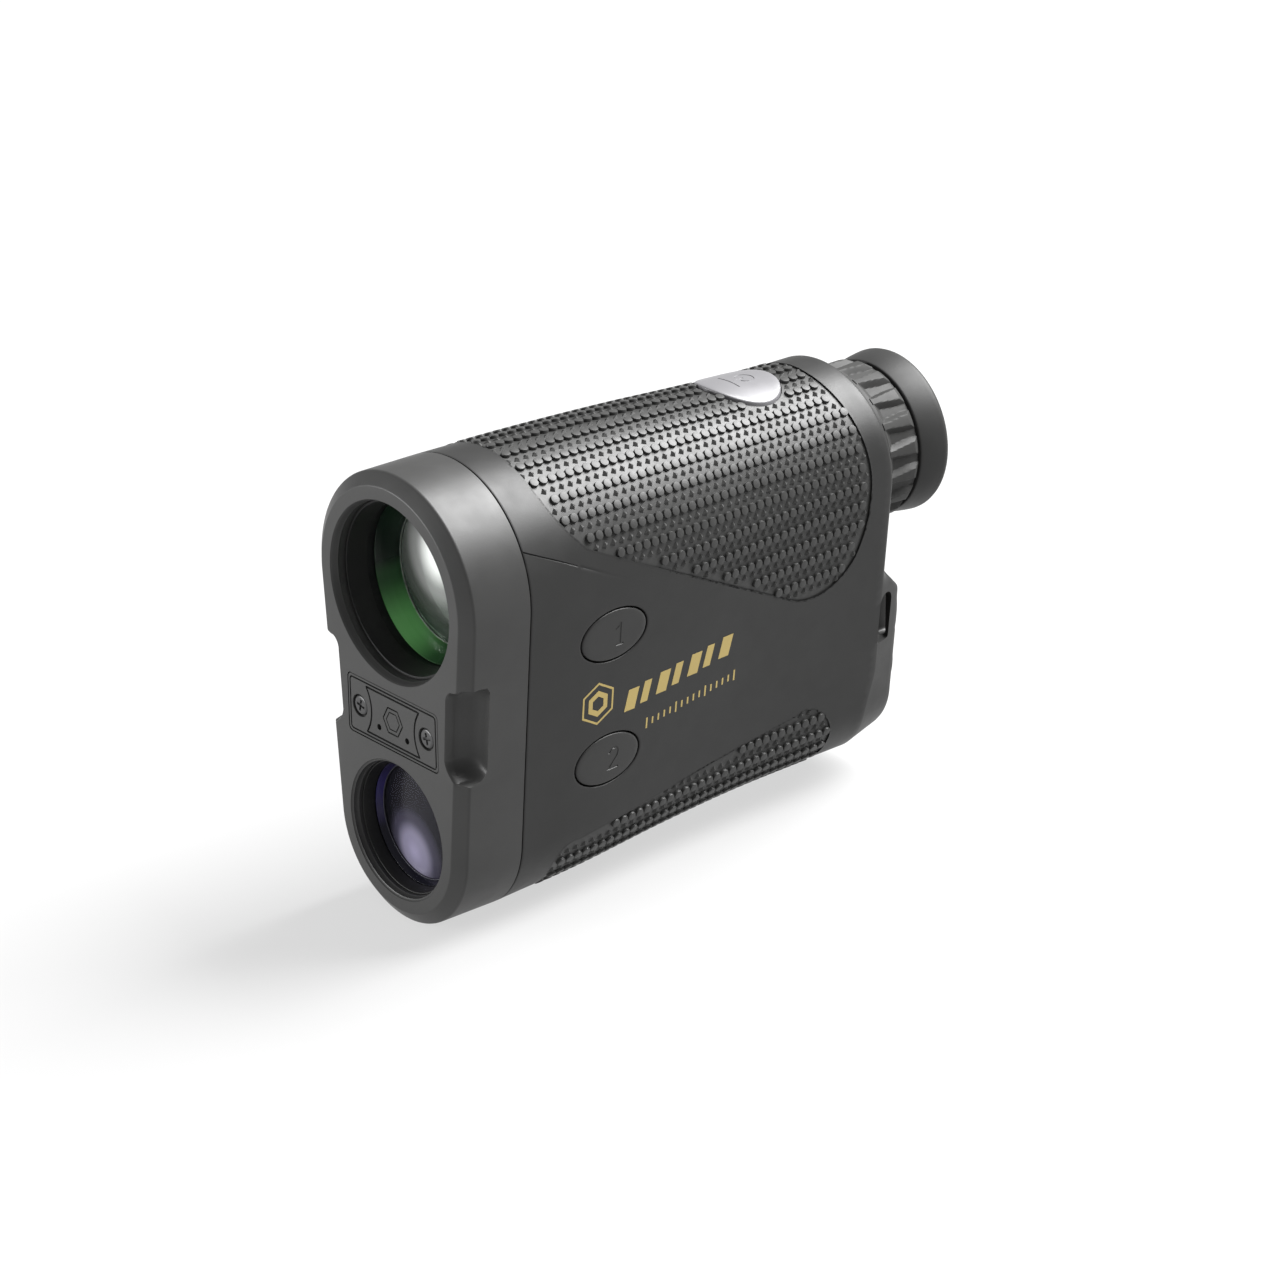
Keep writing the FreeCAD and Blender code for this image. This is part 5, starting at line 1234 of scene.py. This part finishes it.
FLUTES = 18
RING_RADIUS = 13.55
FLUTE_DEPTH = 0.95
SLIT_FRONT, SLIT_BACK, SLIT_DEPTH = 93.37, 93.59, 0.4


def flute_cut(turn, depth, radius):
    """How deep the ring is cut at one place: the valleys, the bevel behind and the slit before each rib."""
    if radius != RING_RADIUS:
        return 0.0
    pitch = math.tau / FLUTES
    across = abs(turn / pitch % 1.0 - 0.5) * pitch * RING_RADIUS
    half = 1.85 - 0.4 * smooth_step(94.2, 99.0, depth)
    valley = FLUTE_DEPTH * max(0.0, min(1.0, (half - across) / 0.85, (depth - SLIT_BACK) / 1.35))
    bevel = max(0.0, depth - 99.25) * 0.62
    slit = SLIT_DEPTH if SLIT_FRONT < depth < SLIT_BACK and across > 1.8 else 0.0
    return max(valley, bevel, slit)


def make_diopter_ring():
    """The fluted focusing ring."""
    depths = [92.9, 93.2, SLIT_FRONT, SLIT_FRONT + 0.01, SLIT_BACK - 0.01, SLIT_BACK]
    depths += steps_between(SLIT_BACK + 0.1, 100.4, 0.16)
    profile = [(92.2, 13.05), (92.28, 13.2), (92.5, 13.42), (92.75, 13.53)]
    profile += [(depth, RING_RADIUS) for depth in depths]
    profile += [(100.5, 12.6), (100.5, 11.7), (100.35, 11.48), (92.4, 11.48), (92.2, 11.7)]
    ring = to_mesh("diopter_ring_rim", lathe(profile, 0.0, FLUTES * 30, flute_cut), 24.0)
    finish_piece(ring, "diopter_ring", "ring", "housing_grey", ["diopter_ring"])


def make_eyecup():
    """The soft eyecup: narrow at its front, flaring to a rolled lip."""
    profile = [(100.8, 12.0), (100.8, 12.95), (100.87, 13.08)]
    profile += trace([(101.1, 13.15, -30.0), (105.6, 13.9)], 0.4, closed=False)
    profile += [(105.95, 13.88), (106.35, 13.72), (106.65, 13.4), (106.78, 12.95), (106.8, 12.3),
                (106.75, 11.4), (106.55, 10.7), (106.2, 10.15), (105.8, 9.85), (105.4, 10.2), (105.35, 12.0)]
    cup = to_mesh("eyecup_rubber", lathe(profile), 50.0)
    finish_piece(cup, "eyecup_turn", "cup", "cup_rubber", ["eyecup"])


def make_battery_cap():
    """The screw cap behind the battery: knurled edge and a coin slot."""
    profile = soften([(92.2, 8.0), (92.2, 9.52), (94.8, 9.52), (94.8, 8.85), (95.7, 8.85), (95.7, 9.52),
                      (95.87, 9.52), (95.87, 10.75), (97.5, 10.75, 0.45), (97.5, 0.0), (94.4, 0.0),
                      (94.4, 8.0)], 0.08)

    def knurl(turn, depth, radius):
        return 0.12 * max(0.0, math.cos(turn * 48)) if radius > 10.7 else 0.0

    cap = to_mesh("battery_cap_cover", lathe(profile, BATTERY_RISE, 240, knurl))
    carve(cap, block(rounded_box(6.2, 0.8, 0.75, (0.0, BATTERY_RISE)), 96.7, 99.0))
    finish_piece(cap, "cap_turn", "housing", "housing_grey", ["battery_cap"])


# ------------------------------------------------------------------ pieces kept from the CAD model

KEPT = {
    "seal": "nose_seal objective_oring receiver_oring battery_cap_oring",
    "inner_glass": "objective_second_lens rear_objective_lens front_prism roof_prism display_panel field_lens "
                   "eye_lens",
    "turned_black": "objective_barrel receiver_barrel eyepiece_tube ocular_cell ocular_retainer "
                    "eyecup_lift_ring eyecup_sleeve",
    "brass": "detector laser_diode",
    "board": "detector_board main_board switch_board power_board",
    "aluminium": "prism_cradle chassis",
    "film": "display_flex",
    "screw": "diopter_pins",
    "housing": "battery_tube",
    "wrap": "battery",
    "steel": "battery_spring battery_contact",
    "chip": "board_chips side_switches power_switch",
}


def dress_cad():
    for look, nodes in KEPT.items():
        for mesh in (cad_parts[node].data for node in nodes.split()):
            mesh.materials.clear()
            mesh.materials.append(LOOKS[look])
            soft_shade(mesh, 32.0)


# ------------------------------------------------------------------ stage, light and camera

def area_light(name, place, target, size, power):
    data = bpy.data.lights.new(name, "AREA")
    data.shape = "RECTANGLE"
    data.size, data.size_y = size
    data.energy = power
    light = add_object(name, data)
    light.location = place
    light.rotation_euler = (Vector(target) - Vector(place)).to_track_quat("-Z", "Y").to_euler()


def make_stage():
    bm = bmesh.new()
    bmesh.ops.create_grid(bm, x_segments=2, y_segments=2, size=6.0)
    mesh = bpy.data.meshes.new("floor")
    bm.to_mesh(mesh)
    bm.free()
    look, tree, shader = new_look("pale_floor")
    wire(between(noise(tree, 3.0, 2.0), [0.13] * 3, [0.14] * 3), "Color", shader, "Base Color")
    white = (1.0, 1.0, 1.0, 1.0)
    set_inputs(shader, {"Emission Color": white, "Emission Strength": 0.62, "Roughness": 0.9,
                        "Specular IOR Level": 0.1})
    mesh.materials.append(look)
    add_object("floor", mesh)

    world = bpy.data.worlds.new("studio")
    world.use_nodes = True
    set_inputs(world.node_tree.nodes["Background"], {"Color": white, "Strength": 0.4})
    bpy.context.scene.world = world

    middle = (0.0, 0.0, 0.04)
    area_light("rear_softbox", (0.16, 0.72, 0.92), middle, (0.85, 0.85), 62.0)
    area_light("front_left", (-0.62, -1.05, 0.22), middle, (0.7, 0.3), 14.0)
    bpy.context.scene.view_settings.view_transform = "Standard"


def make_camera():
    azimuth, elevation, roll = map(math.radians, (49.74, 23.67, -0.505))
    level = math.cos(elevation)
    back = Vector((math.sin(azimuth) * level, -math.cos(azimuth) * level, math.sin(elevation)))
    right = Vector((math.cos(azimuth), math.sin(azimuth), 0.0))
    up = back.cross(right)
    turned_right = right * math.cos(roll) + up * math.sin(roll)
    turned_up = up * math.cos(roll) - right * math.sin(roll)
    data = bpy.data.cameras.new("camera")
    data.sensor_width = 36.0
    data.lens = 130.74
    data.clip_start = 0.01
    camera = add_object("camera", data)
    turn = Matrix((turned_right, turned_up, back)).transposed().to_4x4()
    camera.matrix_world = Matrix.Translation(Vector((523.21, -446.81, 335.72)) * MM) @ turn
    bpy.context.scene.camera = camera


make_camera()
make_stage()
make_bezel()
make_plate()
make_screws()
make_housing()
make_grips()
make_buttons()
make_power_button()
make_marks()
make_lens_rings()
make_lens_edges_and_painted_reflections()
make_lenses()
make_diopter_ring()
make_eyecup()
make_battery_cap()
dress_cad()
